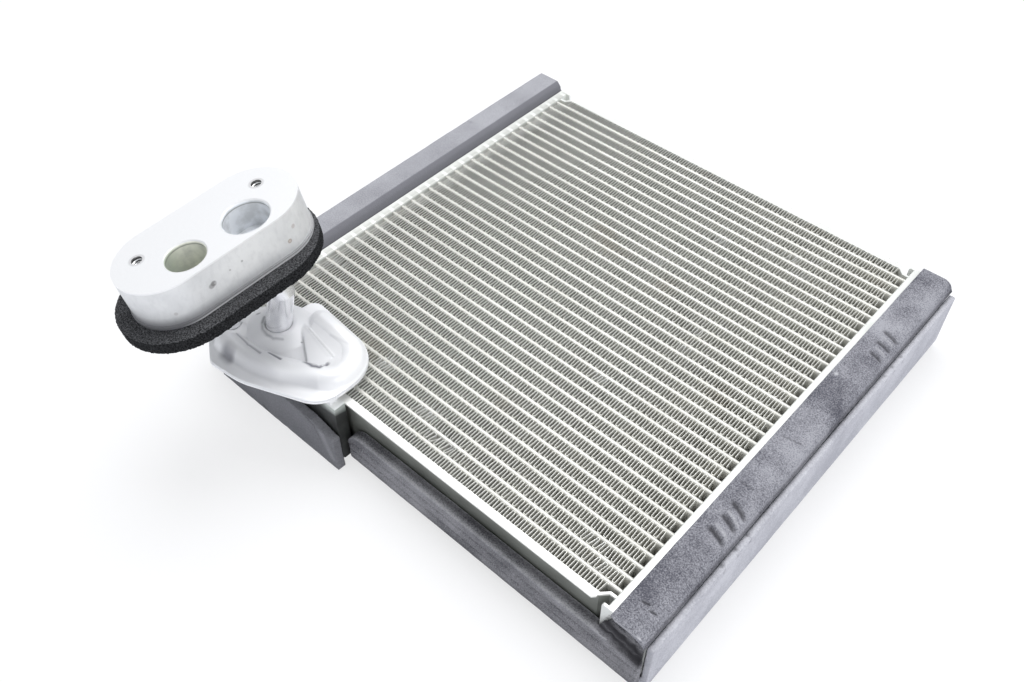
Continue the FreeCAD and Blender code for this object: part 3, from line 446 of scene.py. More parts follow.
def fin_finish():
    """Grey aluminium with a painted highlight on its upper edges and painted shade down in the
    gaps, deepest towards the left tank, hazy with flux beside the left tank.
    """
    finish = Finish("fin_metal", roughness=0.45, metallic=0.3)
    cloud = finish.noise(55.0, 3.0)
    # Painted light: the legs are painted dark down in the gaps, darkest at the left, and the band
    # of painted highlight along their tops widens to the right.
    painted_light_across = finish.axis("X").fit(-FIN_REACH, FIN_REACH)
    low_tone = finish.blend(painted_light_across, (0.15, 0.15, 0.13, 1.0), (0.66, 0.655, 0.61, 1.0))
    clear = finish.blend(painted_light_across, (0.26, 0.26, 0.23, 1.0), (0.88, 0.87, 0.82, 1.0))
    shade = finish.blend(cloud.fit(0.3, 0.7), low_tone, clear)
    louvre = finish.node("ShaderNodeTexWave", {"wave_type": "BANDS", "bands_direction": "Z"},
                         {"Vector": finish.place, "Scale": 140.0})
    shade = finish.blend(louvre.fit(0.75, 0.95) * 0.3, shade, (0.10, 0.10, 0.09, 1.0))
    top_highlight = (finish.axis("Z") + painted_light_across * 0.0009).fit(CORE_TOP - 0.0008, CORE_TOP - 0.0005)
    shade = finish.blend(top_highlight, shade, (0.97, 0.965, 0.92, 1.0))
    ragged = finish.axis("X") + (finish.noise(130.0, 4.0) - 0.5) * 0.012
    haze = 1.0 - ragged.fit(HAZE_LEFT, HAZE_RIGHT)
    shade = finish.blend(haze, shade, (0.97, 0.97, 0.94, 1.0))
    overlay = finish.noise(24.0, 2.0).fit(0.62, 0.75) * 0.25
    shade = finish.blend(overlay, shade, (0.60, 0.52, 0.42, 1.0))
    # Painted highlight on the tops of knocked folds.
    finish.colour(finish.blend(finish.own("painted_fold_glint"), shade, (1.0, 1.0, 0.98, 1.0)))
    finish.bump(louvre, 0.4, 0.0002)
    return finish


# Places where folds are knocked, as (x, y, reach along x, lean, crush).
KNOCKED_FOLDS = (
    (0.0110, -0.0845, 0.0100, 0.0018, 0.0016),
    (-0.0041, -0.0778, 0.0080, 0.0016, 0.0004),
    (-0.0400, -0.0700, 0.0070, 0.0010, 0.0003),
    (0.0966, -0.0778, 0.0110, 0.0014, 0.0004),
    (0.1055, -0.0845, 0.0080, 0.0014, 0.0004),
    (0.0295, 0.1093, 0.0060, 0.0012, 0.0012),
    (0.0516, 0.1238, 0.0060, -0.0012, 0.0012),
    (0.0640, 0.1240, 0.0070, 0.0014, 0.0010),
    (0.0756, 0.1150, 0.0080, -0.0012, 0.0012),
    (0.0756, 0.1300, 0.0060, 0.0012, 0.0010),
    (0.0575, 0.0462, 0.0050, 0.0014, 0.0010),
    (0.0607, 0.0331, 0.0050, -0.0014, 0.0010),
    (-0.0058, 0.1219, 0.0050, 0.0012, 0.0010),
    (0.0128, 0.0734, 0.0050, 0.0012, 0.0008),
    (0.0407, -0.0079, 0.0060, 0.0012, 0.0006),
    (-0.1094, -0.0386, 0.0060, 0.0010, 0.0008),
)
# All of them reach equally far across the strips and down. Only the very tops get a painted
# highlight.
KNOCK_ACROSS = 0.0042
KNOCK_DEPTH = 0.012
GLINT_DEPTH = 0.0016
SWAY = 0.00016


def knock(mesh):
    """Lean and crush the tops of folds, more in the knocked places and a little everywhere, and
    note a painted highlight on the very tops of the knocked ones.
    """
    painted_fold_glint = mesh.attributes.new("painted_fold_glint", "FLOAT", "POINT")
    for index, vertex in enumerate(mesh.vertices):
        depth = CORE_TOP - vertex.co.z
        if depth > KNOCK_DEPTH:
            continue
        top = 1.0 - depth / KNOCK_DEPTH
        x, y = vertex.co.x, vertex.co.y
        strip = round(y / PITCH)
        wander = noise.noise(Vector((x * 90.0, strip * 3.7, 3.0)))
        flutter = noise.noise(Vector((x * 520.0, strip * 5.3, 11.0)))
        lean = SWAY * (wander + flutter) * top
        drop = 0.0
        painted_glint = 0.0
        for kx, ky, along, strength, crush in KNOCKED_FOLDS:
            reach = ((x - kx) / along) ** 2 + ((y - ky) / KNOCK_ACROSS) ** 2
            if reach < 1.0:
                near = (1.0 - reach) * top
                flick = noise.noise(Vector((x * 900.0, y * 500.0, 7.0)))
                lean += 0.6 * strength * near * (0.7 + 0.9 * flick)
                drop += 0.5 * crush * near * (0.6 + flick)
                if depth < GLINT_DEPTH:
                    painted_glint = max(painted_glint, 2.0 * (1.0 - reach) * (0.55 + flick))
        vertex.co.x += lean
        vertex.co.z -= max(drop, 0.0)
        painted_fold_glint.data[index].value = min(max(painted_glint, 0.0), 1.0)


def solidify(piece, thickness):
    """Give a sheet a wall and keep the result as a plain mesh."""
    modifier = piece.modifiers.new("wall", "SOLIDIFY")
    modifier.thickness = thickness
    modifier.offset = 0.0
    settle(piece)


fin_metal = fin_finish()
fins = strip_tree()


def add_fins(name, first, count, left, right):
    """Folded strips from the first to the last, between two x places."""
    legs = round((right - left) / LEG_SPACING)
    piece = mesh_from_tree(name, fins, {
        "Length": right - left, "Legs": legs, "Height": FIN_HEIGHT - SHEET, "Depth": CORE_DEPTH,
        "Strips": count, "Pitch": PITCH,
        "First strip": ((left + right) / 2,
                        CORE_MIDDLE_Y + (first - TUBE_COUNT / 2) * PITCH, CORE_TOP),
        "Metal": fin_metal.material})
    knock(piece.data)
    solidify(piece, SHEET)
    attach(piece, "root")
    return piece


fin_left, fin_right = fin_low[0], fin_high[0]
OUTER_FIN_LEFT, OUTER_FIN_RIGHT = -0.1115, 0.1115
inner_share = (STRIP_COUNT - 2) // 2
fin_pieces = [
    add_fins("fins_front", 1, inner_share, fin_left, fin_right),
    add_fins("fins_back", 1 + inner_share, STRIP_COUNT - 2 - inner_share, fin_left, fin_right),
    add_fins("fins_outer_front", 0, 1, OUTER_FIN_LEFT, OUTER_FIN_RIGHT),
    add_fins("fins_outer_back", STRIP_COUNT - 1, 1, OUTER_FIN_LEFT, OUTER_FIN_RIGHT),
]
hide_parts("fin_pack")


# Header plates and tanks. Slotted plates take the ends of the tubes, and pressed covers, caps,
# dividers and baffles close the tanks. All are the same pale sheet, brazed together. Grey flux
# lies between the tubes on the left plate, and the wall of the right one has painted shade, nearly
# black, between them.
HEADER_LIGHT = (0.86, 0.87, 0.84, 1.0)
HEADER_DULL = (0.74, 0.75, 0.72, 1.0)
FLUX_LEFT, FLUX_RIGHT = -0.1222, -0.1192
HEADER_WALL = 0.1182
POCKET_LOW, POCKET_HIGH = CORE_TOP - 0.0060, CORE_TOP - 0.0036


def paint(node_names, finish):
    """Give CAD pieces a finish."""
    for name in node_names:
        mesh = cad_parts[name].data
        if not mesh.materials:
            mesh.materials.append(finish.material)
        for index in range(len(mesh.materials)):
            mesh.materials[index] = finish.material


def tube_distance(finish):
    """Distance along Y from the middle of the nearest tube, as a share of the pitch."""
    row = (finish.axis("Y") - CORE_MIDDLE_Y) * (1.0 / PITCH)
    return row.maths("PINGPONG", row, 0.5)


def grey_flux(finish, pale):
    """Grey between the tubes, on what faces up."""
    ragged = (finish.noise(260.0, 4.0) - 0.5) * 0.003
    beside = (finish.axis("X") + ragged).fit(FLUX_LEFT, FLUX_RIGHT)
    flux = tube_distance(finish).fit(0.13, 0.18) * beside * finish.facing("Z").fit(0.4, 0.7)
    return finish.blend(flux * 0.6, pale, (0.44, 0.44, 0.40, 1.0))


def pocket_shade(finish, pale):
    """Painted shade, nearly black, between the tubes on the wall that the fins end at."""
    gap = tube_distance(finish)
    wall = 1.0 - finish.axis("X").fit(HEADER_WALL - 0.0001, HEADER_WALL + 0.0001)
    low = 1.0 - (finish.axis("Z") - gap * 0.004).fit(POCKET_LOW, POCKET_HIGH)
    return finish.blend(gap.fit(0.14, 0.26) * low * wall, pale, (0.07, 0.075, 0.07, 1.0))


header_metal = brazed_finish("header_metal", HEADER_LIGHT, HEADER_DULL)
for side in ("left", "right"):
    paint([f"{side}_tank_cover", f"{side}_tank_divider", f"{side}_tank_baffles",
           f"{side}_front_end_cap", f"{side}_back_end_cap"], header_metal)
paint(["left_header_plate"],
      brazed_finish("left_header_metal", HEADER_LIGHT, HEADER_DULL, overlay=grey_flux))
paint(["right_header_plate"],
      brazed_finish("right_header_metal", HEADER_LIGHT, HEADER_DULL, overlay=pocket_shade))


# Side plates. Pressed aluminium channels that hold the outer fins, brazed on at the front and
# the back of the core. The front one is pale on its flange, with painted shade, dark olive, down
# inside under it.
FLANGE_UNDER = CORE_TOP - 0.0012


def channel_finish():
    """Pale on the flange, with painted shade, dark olive, down inside the channel."""
    finish = Finish("channel_metal", roughness=0.45, metallic=0.35)
    cloud = finish.noise(60.0, 4.0, (0.5, 1, 1))
    light = finish.blend(cloud.fit(0.35, 0.7), (0.89, 0.89, 0.86, 1), (0.78, 0.78, 0.74, 1))
    dark = finish.blend(cloud.fit(0.35, 0.7), (0.30, 0.31, 0.28, 1), (0.16, 0.165, 0.15, 1))
    painted_shade_below = 1.0 - finish.axis("Z").fit(FLANGE_UNDER - 0.0002, FLANGE_UNDER + 0.0002)
    finish.colour(finish.blend(painted_shade_below, light, dark))
    finish.bump(finish.noise(1200.0, 3.0), 0.25, 0.0002)
    return finish


paint(["front_side_plate"], channel_finish())
paint(["back_side_plate"], header_metal)


# Side duct. A pressed plate and a pressed tray, brazed face to face, that lead from the left tank
# to the connector. They are pale on top and at the upper right corner, and painted shade makes them
# nearly black below.
DUCT_TOP = 0.0415
PALE_FROM_X, PALE_TO_X = -0.050, -0.043
PALE_FROM_Z, PALE_TO_Z = 0.036, 0.0405


def duct_finish():
    """Pale on top and at the upper right corner, elsewhere painted shade, nearly black."""
    finish = Finish("duct_metal", roughness=0.5, metallic=0.2)
    cloud = finish.noise(90.0, 4.0)
    height = finish.axis("Z") + (cloud - 0.5) * 0.010
    # Painted shade, nearly black, below the pale corner and the top.
    overlay = finish.blend(cloud.fit(0.35, 0.7), (0.055, 0.058, 0.055, 1), (0.018, 0.018, 0.018, 1))
    pale = finish.blend(cloud.fit(0.35, 0.7), (0.62, 0.65, 0.62, 1), (0.36, 0.40, 0.37, 1))
    corner = height.fit(PALE_FROM_Z, PALE_TO_Z) * finish.axis("X").fit(PALE_FROM_X, PALE_TO_X)
    top = finish.axis("Z").fit(DUCT_TOP - 0.0002, DUCT_TOP + 0.0002)
    shade = finish.blend(corner, overlay, pale)
    finish.colour(finish.blend(top, shade, (0.88, 0.89, 0.87, 1)))
    return finish


paint(["side_duct_plate", "side_duct_tray"], duct_finish())


# Connector. Two pressed shells of smooth satin aluminium, brazed together and onto the duct. The
# press leaves every bend of the upper one rounded, so its surface is relaxed here. A shallow
# valley between its tongue and the ridge behind is filled up. Marks are in millimetres.
SHELL_VOXEL = 0.00045
TONGUE_EDGE = ((-80.8, -84.8), (-55.4, -89.4), (-52.6, -98.5))
RIDGE_CROWN = ((-78.4, -77.4), (-50.5, -79.9), (-46.6, -81.9), (-45.2, -86.0), (-45.2, -97.0))
VALLEY_LEFT, VALLEY_RIGHT, VALLEY_BACK = -0.0800, -0.0452, -0.0774
VALLEY_CORNER = Vector((-0.0502, -0.0850))
VALLEY_CORNER_RADIUS = 0.0050
VALLEY_FADE = 0.0030
VALLEY_FLOOR = 0.0519
VALLEY_RISE = 0.0031


def soft_copy(name, node_name, voxel, passes):
    """Smooth closed copy of a CAD piece."""
    piece = merged_copy(name, node_name)
    remesh = piece.modifiers.new("remesh", "REMESH")
    remesh.mode = "VOXEL"
    remesh.voxel_size = voxel
    relax = piece.modifiers.new("relax", "SMOOTH")
    relax.factor = 0.5
    relax.iterations = passes
    settle(piece)
    piece.data.materials.clear()
    piece.data.polygons.foreach_set("use_smooth", [True] * len(piece.data.polygons))
    return piece


def press_marks(mesh, marks):
    """Press lines into a mesh and note their tone. Marks are (start, end, width, depth, tone)
    in millimetres, with a tone over 0 for dark and under 0 for light ones; most dark tones are
    painted shade in creases, gaps and grooves, and most light ones painted highlights. A mark
    whose start has no height is drawn on the upper side, whatever its height there."""
    tone = mesh.attributes.new("tone", "FLOAT", "POINT")
    normals = [vertex.normal.copy() for vertex in mesh.vertices]
    tones = [0.0] * len(mesh.vertices)
    for start, end, width, depth, shade in marks:
        flat = len(start) == 2
        start, end, width = Vector(start) / 1000, Vector(end) / 1000, width / 1000
        run = end - start
        middle, reach = (start + end) / 2, run.length / 2 + width
        for index, vertex in enumerate(mesh.vertices):
            spot = vertex.co.xy if flat else vertex.co
            if (spot - middle).length > reach or (flat and normals[index].z < 0.1):
                continue
            share = (spot - start).dot(run) / max(run.length_squared, 1e-12)
            nearest = start + run * min(max(share, 0.0), 1.0)
            near = 1.0 - (spot - nearest).length / width
            if near > 0.0:
                near = near * near * (3.0 - 2.0 * near)
                vertex.co -= normals[index] * (depth / 1000 * near)
                if abs(shade * near) > abs(tones[index]):
                    tones[index] = shade * near
    tone.data.foreach_set("value", tones)


def satin_finish():
    """Pressed and washed aluminium, nearly white, with soft cloudy sheen and grey marks of painted
    shade.
    """
    finish = Finish("satin_metal", roughness=0.3, metallic=0.12)
    cloud = finish.noise(55.0, 3.0)
    shade = finish.blend(cloud.fit(0.3, 0.75), (0.97, 0.97, 0.98, 1), (0.90, 0.90, 0.92, 1))
    finish.colour(finish.blend(finish.own("tone"), shade, (0.20, 0.20, 0.23, 1.0)))
    finish.feed("Roughness", 0.24 + cloud * 0.22)
    finish.bump(finish.noise(420.0, 3.0), 0.12, 0.0004)
    return finish


def fill_valley(mesh):
    """Raise the valley between the tongue and the ridge that turns back behind it, so that one
    broad swell runs from the straight side of the tongue up to the ridge."""
    tongue = [Vector(spot) / 1000 for spot in TONGUE_EDGE]
    crown = [Vector(spot) / 1000 for spot in RIDGE_CROWN]

    def away(spot, line):
        best = 1.0
        for start, end in zip(line, line[1:]):
            run = end - start
            share = min(max((spot - start).dot(run) / run.length_squared, 0.0), 1.0)
            best = min(best, (spot - start - run * share).length)
        return best

    side = tongue[1] - tongue[0]
    for vertex in mesh.vertices:
        spot = vertex.co.xy
        from_start = spot - tongue[0]
        behind = side.x * from_start.y - side.y * from_start.x > 0.0
        beside = spot.x > tongue[1].x + 0.001 and spot.y > tongue[2].y
        outside = spot.x > VALLEY_RIGHT or spot.y > VALLEY_BACK or spot.x < VALLEY_LEFT
        corner = spot - VALLEY_CORNER
        if corner.x > 0.0 and corner.y > 0.0 and corner.length > VALLEY_CORNER_RADIUS:
            outside = True
        if vertex.normal.z < 0.0 or outside or not (behind or beside):
            continue
        low, high = away(spot, tongue), away(spot, crown)
        share = low / (low + high)
        share = share * share * (3.0 - 2.0 * share)
        end = min(max((spot.x - VALLEY_LEFT) / VALLEY_FADE, 0.0), 1.0)
        level = VALLEY_FLOOR + VALLEY_RISE * share
        vertex.co.z += max(level - vertex.co.z, 0.0) * end


satin_metal = satin_finish()
connector_top = soft_copy("pressed_connector_top", "connector_upper_shell", SHELL_VOXEL, 5)
fill_valley(connector_top.data)
connector_top.data.update()
# Most marks are painted shade: under the ridge and at its left end, round the foot of the pipe's
# collar, beside the tongue and, nearly black, at the tongue's end. The slits are pressed in and
# dark, and the line along the tongue's straight side is raised.
press_marks(connector_top.data, [
    ((-95.4, -121.4), (-92.0, -121.6), 5.2, 0.0, 0.80),
    ((-90.0, -121.0), (-63.0, -115.5), 3.8, 0.0, 0.26),
    ((-63.0, -115.5), (-48.6, -106.3), 3.8, 0.0, 0.28),
    ((-48.6, -106.3), (-41.5, -97.0), 3.0, 0.0, 0.15),
    ((-98.6, -111.6), (-88.2, -112.9), 1.1, 0.4, 0.6),
    ((-88.2, -112.9), (-79.5, -112.6), 1.1, 0.4, 0.6),
    ((-77.3, -109.1), (-69.6, -108.6), 1.2, 0.4, 1.0),
    ((-105.0, -95.1), (-104.4, -94.6), 1.4, 0.0, 0.7),
    ((-74.7, -92.7), (-74.6, -92.7), 0.6, 0.1, 0.9),
    ((-64.6, -82.6), (-52.6, -81.2), 1.0, 0.0, 0.12),
    ((-98.3, -95.6), (-96.0, -98.7), 1.1, 0.2, 0.7),
    ((-96.0, -98.7), (-92.6, -101.2), 1.1, 0.2, 0.5),
    ((-92.6, -101.2), (-88.2, -102.1), 1.1, 0.2, 0.5),
    ((-88.2, -102.1), (-84.6, -101.4), 1.1, 0.2, 0.5),
    ((-84.6, -101.4), (-81.0, -98.6), 1.1, 0.2, 0.4),
    ((-80.8, -84.8), (-55.4, -89.4), 0.9, -0.25, -0.2),
    ((-80.0, -86.2), (-57.4, -91.0), 1.2, 0.0, 0.08),
    ((-75.3, -90.9), (-60.5, -101.2), 1.1, 0.0, 0.18),
    ((-60.4, -101.4), (-55.6, -101.2), 2.1, 0.3, 1.0),
    ((-55.6, -101.2), (-52.6, -99.5), 2.1, 0.3, 1.0),
    ((-52.6, -99.5), (-53.4, -94.6), 1.9, 0.3, 0.9),
    ((-60.2, -99.4), (-55.4, -99.2), 0.6, 0.0, 0.35),
    ((-55.4, -99.2), (-55.2, -95.0), 0.6, 0.0, 0.35),
])
connector_top.data.materials.append(satin_metal.material)
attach(connector_top, "root")
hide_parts("connector_upper_shell")
paint(["connector_lower_shell"], satin_metal)


# Pipes. Two short drawn aluminium tubes, brazed into the connector and up into the block. They
# are smoother and brighter than the pressed sheet, and faintly streaked along their length.
pipe_metal = Finish("pipe_metal", roughness=0.2, metallic=0.75)
pipe_metal.colour(pipe_metal.blend(pipe_metal.noise(120.0, 3.0, (2, 2, 0.3)).fit(0.35, 0.65),
                                   (0.97, 0.97, 0.98, 1.0), (0.80, 0.80, 0.83, 1.0)))
paint(["suction_pipe", "liquid_pipe"], pipe_metal)


# Block. Machined aluminium, nearly white on top. Its side has a cast skin with small dents and
# painted shade along its foot, and its ports are tinted by old oil. Its screw holes are painted
# dark with shade. It stands turned and leaning on the pipes, which are brazed into it. Places on it
# are
# its own: X across, Y along from port to port and Z up from its top.
BLOCK_SPOT = Vector((-0.1008, -0.110277, 0.1187))
BLOCK_TURN = (Matrix.Rotation(math.radians(-6.94), 3, "Y")
              @ Matrix.Rotation(math.radians(6.49), 3, "X")
              @ Matrix.Rotation(math.radians(-6.0), 3, "Z"))
SCREW_X, SCREW_Y = -0.007, 0.0309
PORT_X, PORT_Y = 0.0085, 0.01535
SUCTION_PORT_RADIUS, LIQUID_PORT_RADIUS = 0.0112, 0.0095
# Dents and stains on the side, as (place, radius, strength, colour).
BLOCK_STAINS = (
    ((0.0211, 0.0290, -0.0087), 0.0013, 0.45, (0.45, 0.36, 0.34, 1)),
    ((0.0220, 0.0247, -0.0139), 0.0013, 0.75, (0.40, 0.30, 0.25, 1)),
    ((0.0220, 0.0247, -0.0139), 0.0006, 0.70, (0.75, 0.70, 0.66, 1)),
    ((0.0221, 0.0017, -0.0082), 0.0007, 0.55, (0.30, 0.30, 0.30, 1)),
    ((0.0221, -0.0046, -0.0086), 0.0006, 0.50, (0.35, 0.33, 0.32, 1)),
    ((0.0196, -0.0327, -0.0139), 0.0011, 0.45, (0.38, 0.36, 0.35, 1)),
    ((0.0221, -0.0146, -0.0103), 0.0016, 0.70, (0.30, 0.29, 0.29, 1)),
    ((0.0221, -0.0134, -0.0097), 0.0016, 0.80, (0.22, 0.21, 0.21, 1)),
    ((0.0221, -0.0126, -0.0099), 0.0007, 0.40, (0.75, 0.75, 0.76, 1)),
)


def block_finish():
    """Machined top, cast side with painted shade along its foot, oily ports, and screw holes
    painted dark with shade, placed in the block's frame.
    """
    finish = Finish("block_metal", roughness=0.36, metallic=0.4)
    local = finish.node("ShaderNodeMapping", {"vector_type": "TEXTURE"},
                        {"Vector": finish.place, "Location": BLOCK_SPOT,
                         "Rotation": BLOCK_TURN.to_euler()})
    flat = finish.node("ShaderNodeMapping", values={"Vector": local, "Scale": (1, 1, 0)})
    height = finish.axis("Z", local)
    top = height.fit(-0.0010, -0.0005)
    cloud = finish.noise(42.0, 4.0)
    skin = finish.blend(cloud.fit(0.35, 0.68), (0.87, 0.87, 0.87, 1), (0.68, 0.685, 0.69, 1))
    grain = finish.noise(420.0, 3.0, (1, 1, 0.6)).fit(0.48, 0.75)
    skin = finish.blend(grain * 0.22, skin, (0.50, 0.50, 0.51, 1.0))
    along = finish.axis("Y", local)
    # Painted shade along the foot at the front end, a painted shade line just above the foot, and a
    # painted highlight on the lip at the very bottom.
    painted_foot_shade = (1.0 - height.fit(-0.0212, -0.0150)) * (1.0 - along.fit(-0.030, 0.020))
    skin = finish.blend(painted_foot_shade * 0.9, skin, (0.20, 0.20, 0.22, 1.0))
    painted_shade_line = height.fit(-0.0208, -0.0204) * (1.0 - height.fit(-0.0199, -0.0193))
    skin = finish.blend(painted_shade_line * 0.65, skin, (0.25, 0.25, 0.26, 1.0))
    painted_lip_highlight = (1.0 - height.fit(-0.0210, -0.0207)) * along.fit(-0.034, -0.024)
    skin = finish.blend(painted_lip_highlight * 0.8, skin, (0.92, 0.92, 0.94, 1.0))
    for centre, reach, strength, colour in BLOCK_STAINS:
        spot = 1.0 - finish.away(centre, local).fit(reach * 0.6, reach)
        skin = finish.blend(spot * strength, skin, colour)
    face = finish.blend(cloud.fit(0.3, 0.8), (0.92, 0.915, 0.92, 1), (0.86, 0.86, 0.865, 1))
    # Painted shade on the countersinks round the screw holes.
    for y in (SCREW_Y, -SCREW_Y):
        painted_countersink_shade = 1.0 - finish.away((SCREW_X, y, 0.0), flat).fit(0.0032, 0.0040)
        face = finish.blend(painted_countersink_shade * 0.5, face, (0.50, 0.49, 0.49, 1.0))
    shade = finish.blend(top, skin, face)
    oil = finish.noise(150.0, 3.0)
    green = (1.0 - along.fit(-0.0225, -0.0135)) * 0.8
    olive = finish.blend(green, (0.88, 0.88, 0.79, 1.0), (0.30, 0.37, 0.27, 1.0))
    bores = 0.0
    for y, radius, pale in ((PORT_Y, SUCTION_PORT_RADIUS, (0.86, 0.88, 0.91, 1)),
                            (-PORT_Y, LIQUID_PORT_RADIUS, olive)):
        inside = 1.0 - finish.away((PORT_X, y, 0.0), flat).fit(radius, radius + 0.0002)
        inside = inside * height.fit(-0.030, -0.029) * (1.0 - height.fit(-0.0006, -0.0004))
        tint = finish.blend(oil.fit(0.42, 0.62) * 0.45, pale, (0.40, 0.41, 0.40, 1.0))
        ring = height.fit(-0.0021, -0.0018) * (1.0 - height.fit(-0.0015, -0.0012))
        tint = finish.blend(ring * 0.6, tint, (0.16, 0.16, 0.15, 1.0))
        shade = finish.blend(inside, shade, tint)
        bores = inside + bores
    below = 1.0 - height.fit(-0.0011, -0.0007)
    # Painted shade at the mouths of the screw holes, and nearly black down inside them.
    for y in (SCREW_Y, -SCREW_Y):
        hole = finish.away((SCREW_X, y, 0.0), flat)
        painted_mouth_shade = (1.0 - hole.fit(0.0031, 0.0034)) * (1.0 - height.fit(-0.0002, -0.0001))
        shade = finish.blend(painted_mouth_shade, shade, (0.24, 0.24, 0.24, 1.0))
        inside = (1.0 - hole.fit(0.0026, 0.0028)) * below
        shade = finish.blend(inside, shade, (0.05, 0.05, 0.05, 1.0))
    finish.feed("Metallic", 0.4 - bores * 0.35)
    finish.colour(shade)
    finish.feed("Roughness", 0.30 + cloud * 0.2)
    finish.bump(grain * 0.5 + finish.noise(1500.0, 3.0) * 0.5, 0.3, 0.0002)
    return finish


paint(["connector_block"], block_finish())


# Screw threads. Cut into the wall of both screw holes of the block, and shown as one bright ridge
# that winds down the wall. Their metal is the block's own.
THREAD_PITCH = 0.00125
THREAD_TURNS = 10
THREAD_STEPS = 28
THREAD_START = -0.0012
THREAD_ROOT, THREAD_CREST, THREAD_HALF = 0.00252, 0.00205, 0.00036


def add_thread(name, y):
    """Ridge that winds down a screw hole, three corners at each step."""
    corners, faces = [], []
    section = ((THREAD_ROOT, THREAD_HALF), (THREAD_CREST, 0.0), (THREAD_ROOT, -THREAD_HALF))
    for step in range(THREAD_STEPS * THREAD_TURNS + 1):
        angle = 2 * math.pi * step / THREAD_STEPS
        depth = THREAD_START - THREAD_PITCH * step / THREAD_STEPS
        for radius, shift in section:
            spot = Vector((SCREW_X + radius * math.cos(angle), y + radius * math.sin(angle),
                           depth + shift))
            corners.append(BLOCK_SPOT + BLOCK_TURN @ spot)
        if step:
            first = 3 * step
            faces.append((first - 3, first - 2, first + 1, first))
            faces.append((first - 2, first - 1, first + 2, first + 1))
    mesh = bpy.data.meshes.new(name)
    mesh.from_pydata(corners, [], faces)
    mesh.materials.append(thread_metal.material)
    piece = bpy.data.objects.new(name, mesh)
    scene.collection.objects.link(piece)
    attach(piece, "root")


thread_metal = Finish("thread_metal", roughness=0.3, metallic=0.8)
thread_metal.colour(thread_metal.blend(thread_metal.noise(900.0).fit(0.4, 0.6),
                                       (0.95, 0.95, 0.95, 1.0), (0.75, 0.75, 0.75, 1.0)))
add_thread("back_screw_thread", SCREW_Y)
add_thread("front_screw_thread", -SCREW_Y)


# Foam ring. Coarse charcoal foam, cut out and pushed over the foot of the block as a seal. Its
# open cells catch light from above, so what faces up is painted greyer.
def add_foam(name, node_name, finish, voxel, passes, lump, marks=(), fuzz=0.0):
    """Soft foam piece in place of a CAD node, slightly uneven all over."""
    piece = soft_copy(name, node_name, voxel, passes)
    mesh = piece.data
    normals = [vertex.normal.copy() for vertex in mesh.vertices]
    for vertex, normal in zip(mesh.vertices, normals):
        swell = noise.noise(vertex.co * 60.0) + 0.5 * noise.noise(vertex.co * 260.0)
        swell = (swell - 1.0) * lump + (noise.noise(vertex.co * 1900.0) - 0.5) * fuzz
        vertex.co += normal * swell
    mesh.update()
    press_marks(mesh, marks)
    mesh.materials.append(finish.material)
    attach(piece, "root")
    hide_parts(node_name)
    return piece


def ring_foam_finish():
    """Coarse charcoal foam, with painted light making it greyer where it faces up."""
    finish = Finish("charcoal_foam", roughness=0.95, specular=0.1)
    grain = finish.noise(1500.0, 2.0, roughness=0.7).fit(0.38, 0.68)
    lit_from_above = finish.facing("Z").fit(0.35, 0.8)
    side = finish.blend(grain, (0.006, 0.006, 0.007, 1), (0.055, 0.057, 0.060, 1))
    top = finish.blend(grain, (0.022, 0.022, 0.024, 1), (0.17, 0.172, 0.18, 1))
    finish.colour(finish.blend(lit_from_above, side, top))
    finish.bump(grain, 0.8, 0.0006)
    return finish


add_foam("block_ring_foam", "block_foam_ring", ring_foam_finish(),
         voxel=0.0006, passes=2, lump=0.00006, fuzz=0.00028)


# Top foam. Sheets of fine-celled grey foam, glued onto the two tanks. The left one is paler, and
# dark on the side that faces the fins. The right one has two groups of creases, with painted shade
# in them and painted highlights beside them, and painted shade in the gap along its outer edge.
def foam_finish(name, light, dark, cell, depth, contrast=0.10, shady=0.0):
    """Foam with a cut surface: cloudy, speckled with open cells, darker and paler in marks, which
    carry painted shade and painted highlights.
    The shady share darkens what faces along +X."""
    finish = Finish(name, roughness=0.92, specular=0.2)
    cloud = finish.noise(34.0, 5.0, roughness=0.6)
    grain = finish.noise(cell, 2.0, roughness=0.7)
    cells = finish.pores(cell * 1.3)
    mottle = (cloud * 0.5 + grain * 0.5).fit(0.5 - contrast, 0.5 + contrast)
    shade = finish.blend(mottle, dark, light)
    shade = finish.blend((1.0 - cells.fit(0.05, 0.3)) * 0.4, shade, dark)
    shade = finish.blend(finish.facing("X").fit(0.12, 0.40) * shady, shade, dark)
    tone = finish.own("tone")
    # Painted shade from dark tones, a painted highlight from light ones.
    shade = finish.blend(tone.fit(0.0, 1.0), shade, (0.025, 0.024, 0.028, 1.0))
    shade = finish.blend(tone.fit(0.0, -1.0), shade, (0.85, 0.85, 0.88, 1.0))
    finish.colour(shade)
    finish.bump(grain * 0.6 + cells * 0.4, 0.7, depth)
    return finish


left_foam = foam_finish("left_foam", (0.54, 0.54, 0.575, 1.0), (0.17, 0.17, 0.19, 1.0),
                        cell=1500.0, depth=0.0003, contrast=0.30, shady=0.9)
grey_foam = foam_finish("grey_foam", (0.38, 0.38, 0.415, 1.0), (0.09, 0.09, 0.11, 1.0),
                        cell=1500.0, depth=0.0004)
add_foam("left_top_pad", "left_top_foam", left_foam,
         voxel=0.0009, passes=1, lump=0.00012, marks=[
    ((-122.7, -100.0, 39.5), (-122.7, 158.5, 39.5), 2.5, 0.0, 0.35),
    ((-123.0, -36.7, 46.6), (-122.0, -37.6, 48.0), 1.3, 0.8, 0.9),
    ((-137.8, 90.3, 48.0), (-139.5, 90.3, 46.0), 2.0, 0.6, 0.2),
])
